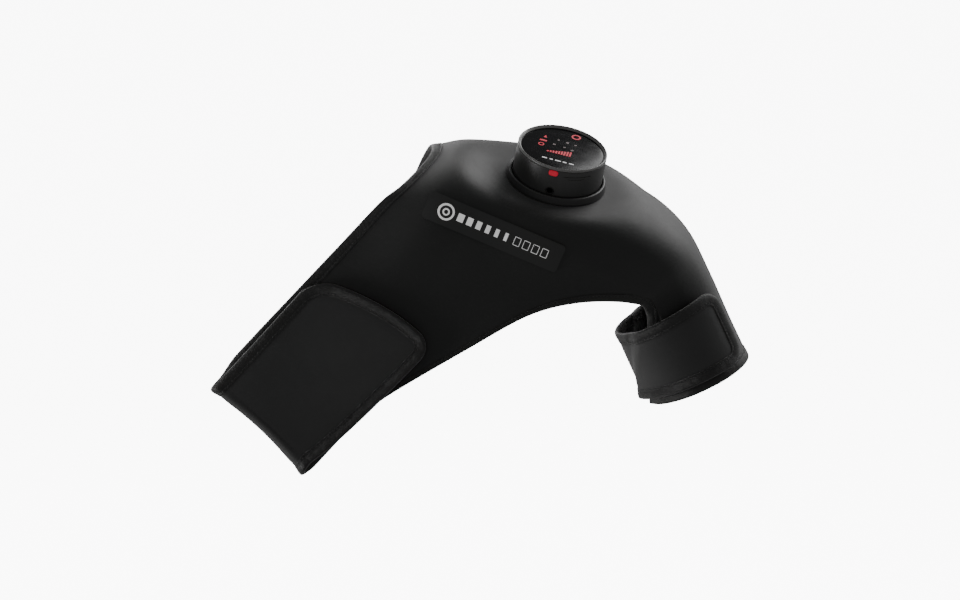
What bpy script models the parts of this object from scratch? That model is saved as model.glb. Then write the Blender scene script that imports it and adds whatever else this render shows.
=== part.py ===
"""Cold compression wrap for a shoulder, in the shape it takes when worn.

Frame: +X points out along the shoulder to the arm, +Y to the wearer's back, +Z up. The origin is where
the shoulder's top touches the lining, under the middle of the round module.
Lengths are millimetres until a mesh is made, which turns them into metres.
"""
import math

import bmesh
import bpy
import numpy as np
from mathutils import Matrix, Vector
from mathutils.bvhtree import BVHTree

MM = 0.001
GAP = 0.3

# Layers of the cap, as depths under the outer skin
NEOPRENE = 3.5
FLANGE_DEPTH = 2.3
BLADDER = 1.6
GEL = 3.5
LINING = 1.0
PACK_TOP = NEOPRENE + FLANGE_DEPTH + GAP
GEL_TOP = PACK_TOP + BLADDER + GAP
LINING_TOP = GEL_TOP + GEL + GAP
STACK = LINING_TOP + LINING

# Module
LEAN_FORWARD = math.radians(15.2)
LEAN_OUT = math.radians(10.6)
TURN = math.radians(-8.5)
SEAT = STACK
SEAT_FLAT = 49.0
SEAT_BLEND = 92.0
HOLE_RADIUS = 30.0
MODULE_RADIUS = 38.0
MODULE_WALL = 2.2
RIM_HEIGHT = SEAT + 33.0

# Arm sleeve: a round tube about a tilted axis
ARM_TILT = math.radians(24)
ARM_UP = np.array([-math.sin(ARM_TILT), 0.0, math.cos(ARM_TILT)])
ARM_OUT = np.array([math.cos(ARM_TILT), 0.0, math.sin(ARM_TILT)])
BACKWARD = np.array([0.0, 1.0, 0.0])
HEM_CENTRE = np.array([122.5, 12.0, -163.2])
SLEEVE_RADIUS = 46.5
SLEEVE_STEP = 40.0
SLEEVE_OPEN_FRONT = [math.radians(a) for a in (-15, -40, -70)]

# Chest strap: a flat band across the chest, its end folded forward
FOLD_UPPER = np.array([-286.4, -80.0, -149.0])
FOLD_LOWER = np.array([-210.8, -86.0, -218.7])
BAND_RUN = np.array([0.69, 0.10, 0.72])
FOLD_NOSE = 7.0
SEAM_FROM_FOLD = 60.0
SEAM_GAP = 1.0
BAND_LOW = -3.4
BAND_HIGH = 106.4
BAND_SPREAD = 30.0
FLAP_LENGTH = 119.9
FLAP_SLANT = 0.56
FLAP_BOW = 0.0029
FLAP_CORNER_HIGH = 18.5
FLAP_CORNER_LOW = 15.5
FLAP_FOOT = 99.5
FLAP_SPREAD = 10.5
FLAP_SPREAD_RUN = 45.0
FLAP_THICK = 3.2
FLAP_LIFT_FOLD = 7.5
FLAP_LIFT_END = 4.6
FLAP_CLOSE = 85.0
PATCH_THICK = 1.2

# Arm strap
STRAP_THICK = 3.0
STRAP_BACK = math.radians(-165)
STRAP_HINGE = math.radians(-80)
STRAP_TIP = math.radians(58)
STRAP_LOW = 9.0
STRAP_HIGH = 65.0
STRAP_RISE = 8.0
STRAP_CORNER = 15.0
STRAP_DIP = 6.0
DIP_MARGIN = math.radians(2.5)
DIP_RAMP = math.radians(20)

# Edge tape, folded over the edges of the skin
TAPE_WIDTH = 8.0
TAPE_THICK = 0.8
TAPE_GAP = 0.8

# Ribs over the shoulder, from the neck to the sleeve. Each has its crest point, its reach to the front
# and to the back, its drop, and its front and back edge points. The chest strap gives the first three
# front edges.
RIBS = [
    ((-101, 20, 33), 60, 64, 53, None, (-140, 96, -62)),
    ((-74, 27, 37), 90, 63, 60, None, (-112, 100, -92)),
    ((-42, 30, 33.5), 96, 62, 60, None, (-84, 103, -121)),
    ((-8, 30, 25), 96, 62, 60, (-134, -78.5, -151), (-52, 101, -108)),
    ((27, 29, 15.5), 94, 62, 60, (-70, -76, -113), (-20, 98, -94)),
    ((60, 27, 2.5), 90, 61, 58, (-19, -70, -86), (12, 93, -84)),
    ((91, 23, -15), 81, 59, 54, (23, -64, -77), (40, 85, -79)),
    ((115, 18, -38), 64, 52, 50, (65, -47.5, -81.7), (64, 72, -83)),
]
NECK_FLARE = np.array([-0.82, 0.0, -0.57])
CORNER_RIB = 2
ROUNDNESS = 2.5
NECK_ROUNDNESS = 1.6
STATION = 0.5


def unit(v):
    """The vector v at length 1."""
    return v / np.linalg.norm(v)


def smooth(x):
    """Smooth step from 0 to 1."""
    x = min(max(x, 0.0), 1.0)
    return x * x * (3.0 - 2.0 * x)


# Local frames -------------------------------------------------------------------------------------

BAND_ACROSS = unit(FOLD_LOWER - FOLD_UPPER)
BAND_WIDTH = float(np.linalg.norm(FOLD_LOWER - FOLD_UPPER))
BAND_ALONG = unit(BAND_RUN - BAND_ACROSS * float(np.dot(BAND_RUN, BAND_ACROSS)))
BAND_OUT = np.cross(BAND_ACROSS, BAND_ALONG)
FOLD_ORIGIN = FOLD_UPPER + FOLD_NOSE * BAND_ALONG
AXIS = unit(np.array([math.tan(LEAN_OUT), -math.tan(LEAN_FORWARD), 1.0]))


def band_point(along, across, out):
    """A point of the chest strap, measured from the fold axis."""
    return FOLD_ORIGIN + along * BAND_ALONG + across * BAND_ACROSS + out * BAND_OUT


def arm_point(height, angle, radius):
    """A point round the arm: height above the hem, angle from the front towards the outside."""
    centre = HEM_CENTRE + height * ARM_UP
    return centre + radius * (math.sin(angle) * ARM_OUT - math.cos(angle) * BACKWARD)


def module_matrix():
    """Axes of the module, in metres: X to its right, Y to the top of its display, Z out of its face."""
    up = Vector(AXIS)
    away = (Vector((0, 1, 0)) - up * up.y).normalized()
    away = Matrix.Rotation(TURN, 3, up) @ away
    right = away.cross(up)
    return Matrix((right, away, up)).transposed().to_4x4()


# Skin surface -------------------------------------------------------------------------------------

def shoulder_side(crest, inward, drop, reach, end, sign, roundness):
    """Points of one half rib: a rounded shoulder, then a straight run to the panel's edge."""
    points = []
    for degrees in (30, 60, 90):
        angle = math.radians(degrees)
        out = math.sin(angle) ** (2 / roundness)
        fall = 1 - max(math.cos(angle), 0.0) ** (2 / roundness)
        points.append(crest + inward * drop * fall + BACKWARD * sign * reach * out)
    brow = points[-1]
    points.append(brow + (end - brow) / 3)
    points.append(brow + (end - brow) * 2 / 3)
    points.append(end)
    return points


def shoulder_rib(index):
    """A rib over the shoulder, from the front edge to the back edge."""
    crest, front, back, drop, front_end, back_end = RIBS[index]
    crest = np.array(crest, float)
    if front_end is None:
        front_end = band_point(SEAM_FROM_FOLD, BAND_LOW + (BAND_HIGH - BAND_LOW) * index / 2, 0)
    front_end = np.array(front_end, float)
    back_end = np.array(back_end, float)
    sides = []
    for end, reach, sign in ((front_end, front, -1), (back_end, back, 1)):
        run = end - crest
        inward = unit(np.array([run[0], 0.0, run[2]]))
        roundness = ROUNDNESS
        if index == 0 and sign < 0:
            inward = NECK_FLARE
            roundness = NECK_ROUNDNESS
        sides.append(shoulder_side(crest, inward, drop, reach, end, sign, roundness))
    return sides[0][::-1] + [crest] + sides[1]


def sleeve_rib(height, opening):
    """A rib round the sleeve, from its front inner edge over the outside to its back inner edge."""
    front = [opening * k / 3 for k in (3, 2, 1)] + [math.radians(a) for a in (0, 30, 60)]
    back = [math.pi - a for a in front[::-1]]
    return [arm_point(height, a, SLEEVE_RADIUS) for a in front + [math.pi / 2] + back]


def skin_net():
    """Control points of the skin: ribs from the neck to the hem, each from front to back."""
    net = [shoulder_rib(i) for i in range(len(RIBS))]
    for step, opening in enumerate(SLEEVE_OPEN_FRONT):
        net.append(sleeve_rib(SLEEVE_STEP * (2 - step), opening))
    return np.array(net)


NET = skin_net()
T_END = NET.shape[0] - 1
V_END = NET.shape[1] - 1
V_CREST = V_END / 2


def rib_slopes(net):
    """Slopes of the net before and after each rib, with sharp corners at the panels' outer ends."""
    padded = np.concatenate([2 * net[:1] - net[1:2], net, 2 * net[-1:] - net[-2:-1]])
    before = (padded[2:] - padded[:-2]) / 2
    after = before.copy()
    sharp = np.zeros((net.shape[1], 1))
    sharp[0] = sharp[-1] = 1.0
    sharp[1] = sharp[-2] = 0.6
    k = CORNER_RIB
    before[k] += sharp * (net[k] - net[k - 1] - before[k])
    after[k] += sharp * (net[k + 1] - net[k] - after[k])
    before[k - 1] += sharp * (net[k] - net[k - 1] - before[k - 1])
    after[k - 1] = before[k - 1]
    return before, after


SLOPE_BEFORE, SLOPE_AFTER = rib_slopes(NET)


def rib_at(t):
    """The net's points on the rib at t, between two of its ribs."""
    i = min(max(int(t), 0), T_END - 1)
    f = t - i
    start = (1 + 2 * f) * (1 - f) ** 2
    leave = f * (1 - f) ** 2
    finish = f * f * (3 - 2 * f)
    arrive = f * f * (f - 1)
    return start * NET[i] + leave * SLOPE_AFTER[i] + finish * NET[i + 1] + arrive * SLOPE_BEFORE[i + 1]


def spline(rows, u):
    """Catmull-Rom curve through rows, at parameter u counted in rows."""
    last = len(rows) - 1
    i = min(max(int(u), 0), last - 1)
    f = u - i
    p1 = rows[i]
    p2 = rows[i + 1]
    p0 = rows[i - 1] if i > 0 else 2 * p1 - p2
    p3 = rows[i + 2] if i + 2 <= last else 2 * p2 - p1
    cubic = (3 * p1 - p0 - 3 * p2 + p3) * f ** 3
    return 0.5 * (2 * p1 + (p2 - p0) * f + (2 * p0 - 5 * p1 + 4 * p2 - p3) * f * f + cubic)


def seat_weight(point):
    """1 on the flat seat of the module, falling to 0 on the free skin."""
    height = float(np.dot(point, AXIS))
    radial = float(np.linalg.norm(point - height * AXIS))
    near = 1 - smooth((abs(height - SEAT) - 25) / 40)
    return (1 - smooth((radial - SEAT_FLAT) / (SEAT_BLEND - SEAT_FLAT))) * near


def skin(t, v):
    """Point of the outer skin at rib t and place v along it."""
    point = spline(rib_at(t), v)
    height = float(np.dot(point, AXIS))
    return point + AXIS * (SEAT - height) * seat_weight(point)


def skin_normal(t, v):
    """Outward unit normal of the skin."""
    step = 0.02
    t0, t1 = max(t - step, 0), min(t + step, T_END)
    v0, v1 = max(v - step, 0), min(v + step, V_END)
    return unit(np.cross(skin(t1, v) - skin(t0, v), skin(t, v1) - skin(t, v0)))


def under_skin(t, v, depth):
    """Point at a depth under the outer skin, or above it where the depth is negative."""
    return skin(t, v) - depth * skin_normal(t, v)


def steps(start, end, count):
    """count + 1 even values from start to end."""
    return [start + (end - start) * i / count for i in range(count + 1)]


def stations(start, end):
    """Places half a rib apart, which all layers share, so that their facets lie parallel."""
    return steps(start, end, round((end - start) / STATION))


def skin_tree():
    """The outer skin as a search tree, for what is laid on it."""
    rows = [[Vector(skin(t, v)) for v in stations(0, V_END)] for t in stations(0, T_END)]
    cols = len(rows[0])
    faces = []
    for i in range(len(rows) - 1):
        for j in range(cols - 1):
            a, b = i * cols + j, i * cols + j + 1
            faces += [(a, b, b + cols), (a, b + cols, a + cols)]
    return BVHTree.FromPolygons([p for row in rows for p in row], faces)


SKIN = skin_tree()


def panel_height(along, across):
    """Height of the chest panel over the band's plane, 0 up to the seam."""
    if along <= SEAM_FROM_FOLD + 1:
        return 0.0
    across = min(max(across, 2.0), BAND_HIGH - 1.0)
    start = band_point(along, across, 80)
    _, _, _, distance = SKIN.ray_cast(Vector(start), Vector(-BAND_OUT), 160)
    return 80 - distance


# Meshes and materials -----------------------------------------------------------------------------

def material(name, colour, roughness, metallic=0.0, alpha=1.0):
    """A Principled material."""
    mat = bpy.data.materials.new(name)
    mat.use_nodes = True
    shader = mat.node_tree.nodes["Principled BSDF"]
    shader.inputs["Base Color"].default_value = (*colour, 1.0)
    shader.inputs["Roughness"].default_value = roughness
    shader.inputs["Metallic"].default_value = metallic
    shader.inputs["Alpha"].default_value = alpha
    return mat


def add_object(name, verts, faces, mat, parent=None, smooth_angle=math.radians(35)):
    """An object from points in millimetres, in the frame of its parent where it has one."""
    mesh = bpy.data.meshes.new(name)
    mesh.from_pydata([tuple(c * MM for c in p) for p in verts], [], faces)
    bm = bmesh.new()
    bm.from_mesh(mesh)
    bmesh.ops.recalc_face_normals(bm, faces=bm.faces)
    bm.to_mesh(mesh)
    bm.free()
    mesh.shade_smooth()
    mesh.set_sharp_from_angle(angle=smooth_angle)
    mesh.materials.append(mat)
    obj = bpy.data.objects.new(name, mesh)
    bpy.context.scene.collection.objects.link(obj)
    obj.parent = parent
    return obj


def rehang(obj, empty):
    """Hangs an object made in world coordinates on an empty, without moving it."""
    obj.parent = empty
    obj.matrix_parent_inverse = empty.matrix_world.inverted()


def slab(name, outer, inner, mat):
    """A closed sheet between two grids of points of the same size."""
    rows, cols = len(outer), len(outer[0])
    verts = [p for row in outer for p in row] + [p for row in inner for p in row]
    base = rows * cols
    faces = []
    for i in range(rows - 1):
        for j in range(cols - 1):
            a, b = i * cols + j, i * cols + j + 1
            c, d = b + cols, a + cols
            for face in ((a, b, c), (a, c, d)):
                faces.append(face)
                faces.append(tuple(base + k for k in face[::-1]))
    rim = [(0, j) for j in range(cols)] + [(i, cols - 1) for i in range(1, rows)]
    rim += [(rows - 1, j) for j in range(cols - 2, -1, -1)] + [(i, 0) for i in range(rows - 2, 0, -1)]
    for (i, j), (k, m) in zip(rim, rim[1:] + rim[:1]):
        a, b = i * cols + j, k * cols + m
        faces.append((a, base + a, base + b, b))
    return add_object(name, verts, faces, mat)


def skin_slab(name, t_values, v_values, outer_depth, inner_depth, mat):
    """A layer of the cap between two depth functions of (t, v)."""
    outer = [[under_skin(t, v, outer_depth(t, v)) for v in v_values] for t in t_values]
    inner = [[under_skin(t, v, inner_depth(t, v)) for v in v_values] for t in t_values]
    return slab(name, outer, inner, mat)


def turned(name, profile, mat, parent, segments=40, centre=(0.0, 0.0), place=None):
    """A solid turned about an upright axis: a closed (radius, height) outline."""
    verts = []
    rings = []
    for radius, height in profile:
        if radius == 0:
            rings.append([len(verts)] * segments)
            verts.append((centre[0], centre[1], height))
            continue
        rings.append(list(range(len(verts), len(verts) + segments)))
        for k in range(segments):
            angle = 2 * math.pi * k / segments
            verts.append((centre[0] + radius * math.cos(angle), centre[1] + radius * math.sin(angle), height))
    faces = []
    for ring, following in zip(rings, rings[1:] + rings[:1]):
        for k in range(segments):
            n = (k + 1) % segments
            face = list(dict.fromkeys((ring[k], ring[n], following[n], following[k])))
            if len(face) > 2:
                faces.append(face)
    if place is not None:
        verts = [tuple(place @ Vector(p)) for p in verts]
    return add_object(name, verts, faces, mat, parent)


def prism(name, outline, low, high, mat, parent, place=None):
    """A straight solid with an (x, y) outline between two heights."""
    count = len(outline)
    verts = [(x, y, low) for x, y in outline] + [(x, y, high) for x, y in outline]
    faces = [tuple(range(count)), tuple(range(count, 2 * count))]
    faces += [(i, (i + 1) % count, count + (i + 1) % count, count + i) for i in range(count)]
    if place is not None:
        verts = [tuple(place @ Vector(p)) for p in verts]
    return add_object(name, verts, faces, mat, parent)


def rounded_box(width, depth, corner, per_corner=3):
    """Outline of a rectangle with round corners, centred on 0."""
    points = []
    for quarter, (sx, sy) in enumerate(((1, 1), (-1, 1), (-1, -1), (1, -1))):
        for k in range(per_corner + 1):
            angle = math.pi / 2 * (quarter + k / per_corner)
            points.append((sx * (width / 2 - corner) + corner * math.cos(angle),
                           sy * (depth / 2 - corner) + corner * math.sin(angle)))
    return points


def shifted(outline, dx, dy):
    """An outline moved by (dx, dy)."""
    return [(x + dx, y + dy) for x, y in outline]


def cut(target, cutter):
    """Cuts one object from another with a Boolean that stays on it."""
    cutter.hide_render = True
    cutter.display_type = "WIRE"
    modifier = target.modifiers.new("cut", "BOOLEAN")
    modifier.operation = "DIFFERENCE"
    modifier.solver = "EXACT"
    modifier.object = cutter


def empty_at(name, matrix):
    """An empty that holds the pieces which move about one joint."""
    empty = bpy.data.objects.new(name, None)
    bpy.context.scene.collection.objects.link(empty)
    empty.matrix_world = matrix
    return empty


def joint_matrix(origin, axis):
    """A matrix at a point in millimetres with its Z along an axis."""
    turn = Vector((0, 0, 1)).rotation_difference(Vector(axis)).to_matrix().to_4x4()
    return Matrix.Translation(Vector(origin) * MM) @ turn


# Soft pieces of the wrap --------------------------------------------------------------------------

def outer_shell(mat, module):
    """The neoprene skin, with the hole that the module's dock is clamped through."""
    shell = skin_slab("outer_shell", stations(0, T_END), stations(0, V_END),
                      lambda t, v: 0.0, lambda t, v: NEOPRENE, mat)
    hole = turned("shell_hole", [(0, SEAT + 6), (0, SEAT - 8), (HOLE_RADIUS, SEAT - 8),
                                 (HOLE_RADIUS, SEAT + 6)], mat, module, 32)
    cut(shell, hole)
    return shell


def pack_margin(t, v):
    """0 on the edge of the cold pack's pocket, 1 inside it."""
    along = min(t - 1.0, 7.5 - t) * 2
    across = (3.0 - abs(v - V_CREST)) * 2
    return smooth(along) * smooth(across)


def flange_room(t, v):
    """Extra depth under the seat, where the dock's clamp ring lies under the skin."""
    return FLANGE_DEPTH * smooth(2.0 * seat_weight(skin(t, v)))


def cold_pack(skin_mat, gel_mat, bladder_mat):
    """The air bladder, the gel cell under it, and the lining that holds both in a pocket."""
    top = NEOPRENE + GAP
    along = stations(2, 6.5)
    across = stations(V_CREST - 2, V_CREST + 2)
    skin_slab("air_bladder", along, across,
              lambda t, v: top + flange_room(t, v), lambda t, v: PACK_TOP + BLADDER, bladder_mat)
    skin_slab("gel_cell", along, across,
              lambda t, v: GEL_TOP, lambda t, v: GEL_TOP + GEL, gel_mat)

    def pocket(t, v):
        return top + (LINING_TOP - top) * pack_margin(t, v)

    skin_slab("pocket_lining", stations(1, 7.5), stations(V_CREST - 3, V_CREST + 3),
              pocket, lambda t, v: pocket(t, v) + LINING, skin_mat)


def tape(name, places, thickness, mat, from_edge=True):
    """Edge tape: a channel folded over an edge.

    Each station gives the skin's outer points at 0 and at the tape's width, and the normals there.
    The faces of both layers split the same way as the skin's: from the edge inwards, or out to it.
    """
    verts = []
    gap = TAPE_GAP
    for edge, edge_normal, inner, inner_normal in places:
        inward = unit(inner - edge)
        over, under = gap, -thickness - gap
        verts += [inner + inner_normal * over, inner + inner_normal * (over + TAPE_THICK),
                  edge - inward * (gap + TAPE_THICK) + edge_normal * (over + TAPE_THICK),
                  edge - inward * (gap + TAPE_THICK) + edge_normal * (under - TAPE_THICK),
                  inner + inner_normal * (under - TAPE_THICK), inner + inner_normal * under,
                  edge - inward * gap + edge_normal * under,
                  edge - inward * gap + edge_normal * over]
    section = 8
    faces = [tuple(range(section)), tuple(range(len(verts) - section, len(verts)))]
    other_way = (1, 5, 6) if from_edge else (3, 6, 7)
    for i in range(len(places) - 1):
        for j in range(section):
            a, b = i * section + j, i * section + (j + 1) % section
            c, d = b + section, a + section
            faces += [(a, b, d), (b, c, d)] if j in other_way else [(a, b, c), (a, c, d)]
    return add_object(name, verts, faces, mat)


def skin_station(t, v, dt, dv):
    """A tape station on the skin's edge; (dt, dv) is the step to the skin's next station inwards."""
    edge, edge_normal = skin(t, v), skin_normal(t, v)
    near, near_normal, share = edge, edge_normal, 2.0
    left = TAPE_WIDTH
    while share > 1.0:
        t, v = t + dt, v + dv
        far, far_normal = skin(t, v), skin_normal(t, v)
        step = float(np.linalg.norm(far - near))
        share = left / step
        if share > 1.0:
            near, near_normal, left = far, far_normal, left - step
    return edge, edge_normal, near + (far - near) * share, near_normal + (far_normal - near_normal) * share


def skin_tapes(mat):
    """The tapes on the skin's five free edges."""
    h = STATION
    edges = {
        "neck_binding": [(0, v, h, 0) for v in stations(0, V_END - h)],
        "front_armhole_binding": [(t, 0, 0, h) for t in stations(CORNER_RIB + h, T_END - h)],
        "hem_binding": [(T_END, v, -h, 0) for v in stations(0, V_END)],
        "back_armhole_binding": [(t, V_END, 0, -h) for t in stations(CORNER_RIB + h, T_END - h)],
        "back_panel_binding": [(t, V_END, 0, -h) for t in stations(0, CORNER_RIB)],
    }
    for name, places in edges.items():
        from_edge = name in ("neck_binding", "front_armhole_binding")
        tape(name, [skin_station(*place) for place in places], NEOPRENE, mat, from_edge)


def applique(name, frame, size, mat, columns, rows):
    """A thin patch laid on a surface: a rectangle projected along the frame's Z."""
    lift = 3.5 * GAP
    outer = []
    inner = []
    for i in range(columns + 1):
        outer_row = []
        inner_row = []
        for j in range(rows + 1):
            x = size[0] * (i / columns - 0.5)
            y = size[1] * (j / rows - 0.5)
            start = frame @ Vector((x, y, 60))
            hit, normal, _, _ = SKIN.ray_cast(start, -frame.col[2].to_3d(), 160)
            if normal.dot(frame.col[2].to_3d()) < 0:
                normal = -normal
            outer_row.append(hit + normal * (lift + PATCH_THICK))
            inner_row.append(hit + normal * lift)
        outer.append(outer_row)
        inner.append(inner_row)
    return slab(name, outer, inner, mat)


def plane_frame(origin, x_axis, normal):
    """A frame in millimetres with X near x_axis and Z along the normal."""
    z = Vector(normal).normalized()
    x = Vector(x_axis)
    x = (x - z * x.dot(z)).normalized()
    return Matrix.Translation(Vector(origin)) @ Matrix((x, z.cross(x), z)).transposed().to_4x4()


# Chest strap --------------------------------------------------------------------------------------

def chest_strap(mat):
    """The band from the seam with the chest panel to the fold."""
    lip = math.radians(35)
    outer = [(SEAM_FROM_FOLD - SEAM_GAP, 0), (40, 0), (20, 0), (0, 0)]
    inner = [(SEAM_FROM_FOLD - SEAM_GAP, -NEOPRENE), (40, -NEOPRENE), (20, -NEOPRENE), (0, -NEOPRENE)]
    centre = FLAP_LIFT_FOLD / 2
    for angle in steps(0, lip, 3)[1:]:
        outer.append((-centre * math.sin(angle), centre - centre * math.cos(angle)))
        reach = centre + NEOPRENE
        inner.append((-reach * math.sin(angle), centre - reach * math.cos(angle)))
    sheets = []
    for line in (outer, inner):
        rows = [(a, n, steps(BAND_LOW * smooth(a / BAND_SPREAD), BAND_HIGH, 6)) for a, n in line]
        sheets.append([[band_point(a, w, n) for w in across] for a, n, across in rows])
    slab("chest_strap", sheets[0], sheets[1], mat)


def flap_lift(along, across):
    """Height of the flap's inner face over the band's plane; it closes onto the chest panel."""
    left = max(1 - along / FLAP_CLOSE, 0.0)
    return panel_height(along, across) + FLAP_LIFT_END + (FLAP_LIFT_FOLD - FLAP_LIFT_END) * left * left


def flap_length(across):
    """Distance from the fold to the flap's slanting, bowed end."""
    return FLAP_LENGTH + (FLAP_SLANT - FLAP_BOW * across) * across


def flap_corner(share, radius, length):
    """How far a rounded corner cuts in from its side, at a share of the flap's length."""
    past = max(radius - (1.0 - share) * length, 0.0)
    return radius - math.sqrt(max(radius ** 2 - past ** 2, 0.0))


def flap_sides(share):
    """The flap's upper and lower side, across the band, at a share of its length."""
    length = flap_length(BAND_WIDTH)
    spread = FLAP_SPREAD * (1.0 - math.exp(-share * length / FLAP_SPREAD_RUN))
    high = flap_corner(share, FLAP_CORNER_HIGH, FLAP_LENGTH)
    return high, FLAP_FOOT + spread - flap_corner(share, FLAP_CORNER_LOW, length)


def flap_shares():
    """Shares of the flap's length, closer together round its corners."""
    turn = FLAP_CORNER_HIGH / FLAP_LENGTH
    corner = [1.0 - turn * (1.0 - math.sin(a)) for a in steps(0, math.pi / 2, 6)]
    return steps(GAP / FLAP_LENGTH, 1.0 - turn, 9)[:-1] + corner


def chest_flap(skin_mat, tape_mat, hook_mat, hinge):
    """The strap's folded end, its tape and the hook patch inside it."""
    outer = []
    inner = []
    for share in flap_shares():
        first, last = flap_sides(share)
        row = [first] + steps(first + TAPE_WIDTH, last - TAPE_WIDTH, 6) + [last]
        places = [(share * flap_length(w), w) for w in row]
        outer.append([band_point(a, w, flap_lift(a, w) + FLAP_THICK) for a, w in places])
        inner.append([band_point(a, w, flap_lift(a, w)) for a, w in places])
    flap = slab("chest_flap", outer, inner, skin_mat)
    rehang(flap, hinge)

    upper = []
    lower = []
    for share in flap_shares()[1:]:
        first, last = flap_sides(share)
        upper.append((share * flap_length(first), first))
        lower.append((share * flap_length(last), last))
    first, last = flap_sides(1.0)
    end = [(flap_length(w), w) for w in steps(first + TAPE_WIDTH, last - TAPE_WIDTH, 6)]
    path = upper + end + lower[::-1]
    places = []
    for i, (a, w) in enumerate(path):
        before = path[max(i - 1, 0)]
        after = path[min(i + 1, len(path) - 1)]
        run = unit(np.array([after[0] - before[0], after[1] - before[1]]))
        inward = np.array([-run[1], run[0]])
        far = (a + inward[0] * TAPE_WIDTH, w + inward[1] * TAPE_WIDTH)
        edge_point = band_point(a, w, flap_lift(a, w) + FLAP_THICK)
        far_point = band_point(far[0], far[1], flap_lift(*far) + FLAP_THICK)
        places.append((edge_point, BAND_OUT, far_point, BAND_OUT))
    binding = tape("chest_flap_binding", places, FLAP_THICK, tape_mat)
    rehang(binding, hinge)

    low, high = FLAP_LENGTH - 54.0, FLAP_LENGTH - 8.0
    across = steps(16, BAND_WIDTH - 16, 4)
    hook_rows = steps(low, high, 4)
    top = [[flap_lift(a, w) - 2 * GAP for w in across] for a in hook_rows]
    patch = slab("chest_hook_patch",
                 [[band_point(a, w, n) for w, n in zip(across, row)] for a, row in zip(hook_rows, top)],
                 [[band_point(a, w, n - PATCH_THICK) for w, n in zip(across, row)]
                  for a, row in zip(hook_rows, top)], hook_mat)
    rehang(patch, hinge)


# Arm strap ----------------------------------------------------------------------------------------

def strap_dip(angle, height):
    """How far the arm strap sinks between the sleeve's two edges, where nothing lies under it."""
    bottom, top = SLEEVE_OPEN_FRONT[-1], SLEEVE_OPEN_FRONT[0]
    edge = bottom + (top - bottom) * height / (2 * SLEEVE_STEP)
    inside = edge + math.pi / 2 - abs(angle + math.pi / 2)
    return STRAP_DIP * smooth((inside - DIP_MARGIN) / DIP_RAMP)


def strap_radius(angle, height):
    """Inner radius of the arm strap, which rises over the sleeve's patches at the front."""
    share = smooth((angle - STRAP_BACK) / (math.radians(-50) - STRAP_BACK))
    return SLEEVE_RADIUS + 2.4 + 1.8 * share - strap_dip(angle, height)


def strap_edges(angle):
    """Lower and upper edge of the arm strap, as heights above the hem."""
    share = smooth((angle - STRAP_HINGE) / (STRAP_TIP - STRAP_HINGE))
    return STRAP_LOW, STRAP_HIGH + STRAP_RISE * share


def strap_inset(angle):
    """How far the tab's rounded corners cut in from its edges."""
    past = max((angle - STRAP_TIP) * strap_radius(angle, STRAP_LOW) + STRAP_CORNER, 0.0)
    return STRAP_CORNER - math.sqrt(max(STRAP_CORNER ** 2 - past ** 2, 0.0))


def strap_slab(name, angles, mat):
    """A stretch of the arm strap between two angles."""
    outer = []
    inner = []
    for angle in angles:
        low, high = strap_edges(angle)
        inset = strap_inset(angle)
        low, high = low + inset, high - inset
        heights = [low] + steps(low + TAPE_WIDTH, high - TAPE_WIDTH, 4) + [high]
        outer.append([arm_point(h, angle, strap_radius(angle, h) + STRAP_THICK) for h in heights])
        inner.append([arm_point(h, angle, strap_radius(angle, h)) for h in heights])
    return slab(name, outer, inner, mat)


def arm_patch(name, angles, heights, radius, mat):
    """A thin curved patch round the arm."""
    return slab(name, [[arm_point(h, a, radius(a) + PATCH_THICK) for h in heights] for a in angles],
                [[arm_point(h, a, radius(a)) for h in heights] for a in angles], mat)


def arm_strap(skin_mat, tape_mat, hook_mat, loop_mat, hinge):
    """The strap sewn to the back of the sleeve, and its end over the sleeve's front."""
    slack = math.radians(4.0)
    strap_slab("arm_strap", steps(STRAP_BACK, STRAP_HINGE - slack, 8), skin_mat)
    corner = STRAP_CORNER / strap_radius(STRAP_TIP, STRAP_LOW)
    angles = steps(STRAP_HINGE + slack, STRAP_TIP - corner, 12)
    angles = angles[:-1] + [STRAP_TIP - corner + corner * math.sin(a) for a in steps(0, math.pi / 2, 5)]
    rehang(strap_slab("arm_flap", angles, skin_mat), hinge)

    low_side = []
    high_side = []
    for angle in angles:
        low, high = strap_edges(angle)
        inset = strap_inset(angle)
        low_side.append((angle, low + inset))
        high_side.append((angle, high - inset))
    path = high_side[1:] + low_side[1:][::-1]
    places = []
    for i, (angle, height) in enumerate(path):
        before = path[max(i - 1, 0)]
        after = path[min(i + 1, len(path) - 1)]
        radius = strap_radius(angle, height) + STRAP_THICK
        run = unit(np.array([(after[0] - before[0]) * radius, after[1] - before[1]]))
        far_angle = angle + run[1] * TAPE_WIDTH / radius
        far_height = height - run[0] * TAPE_WIDTH
        normal = unit(arm_point(0, angle, 1.0) - HEM_CENTRE)
        far_normal = unit(arm_point(0, far_angle, 1.0) - HEM_CENTRE)
        far_radius = strap_radius(far_angle, far_height) + STRAP_THICK
        places.append((arm_point(height, angle, radius), normal,
                       arm_point(far_height, far_angle, far_radius), far_normal))
    rehang(tape("arm_flap_binding", places, STRAP_THICK, tape_mat, False), hinge)

    heights = steps(20, 54, 2)
    hook = arm_patch("arm_hook_patch", steps(math.radians(2), math.radians(36), 6), heights,
                     lambda a: strap_radius(a, STRAP_LOW) - GAP - PATCH_THICK, hook_mat)
    rehang(hook, hinge)
    arm_patch("arm_loop_patch", steps(math.radians(-8), math.radians(46), 8), steps(12, 60, 2),
              lambda a: SLEEVE_RADIUS + 3 * GAP, loop_mat)


# Module -------------------------------------------------------------------------------------------

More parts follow.
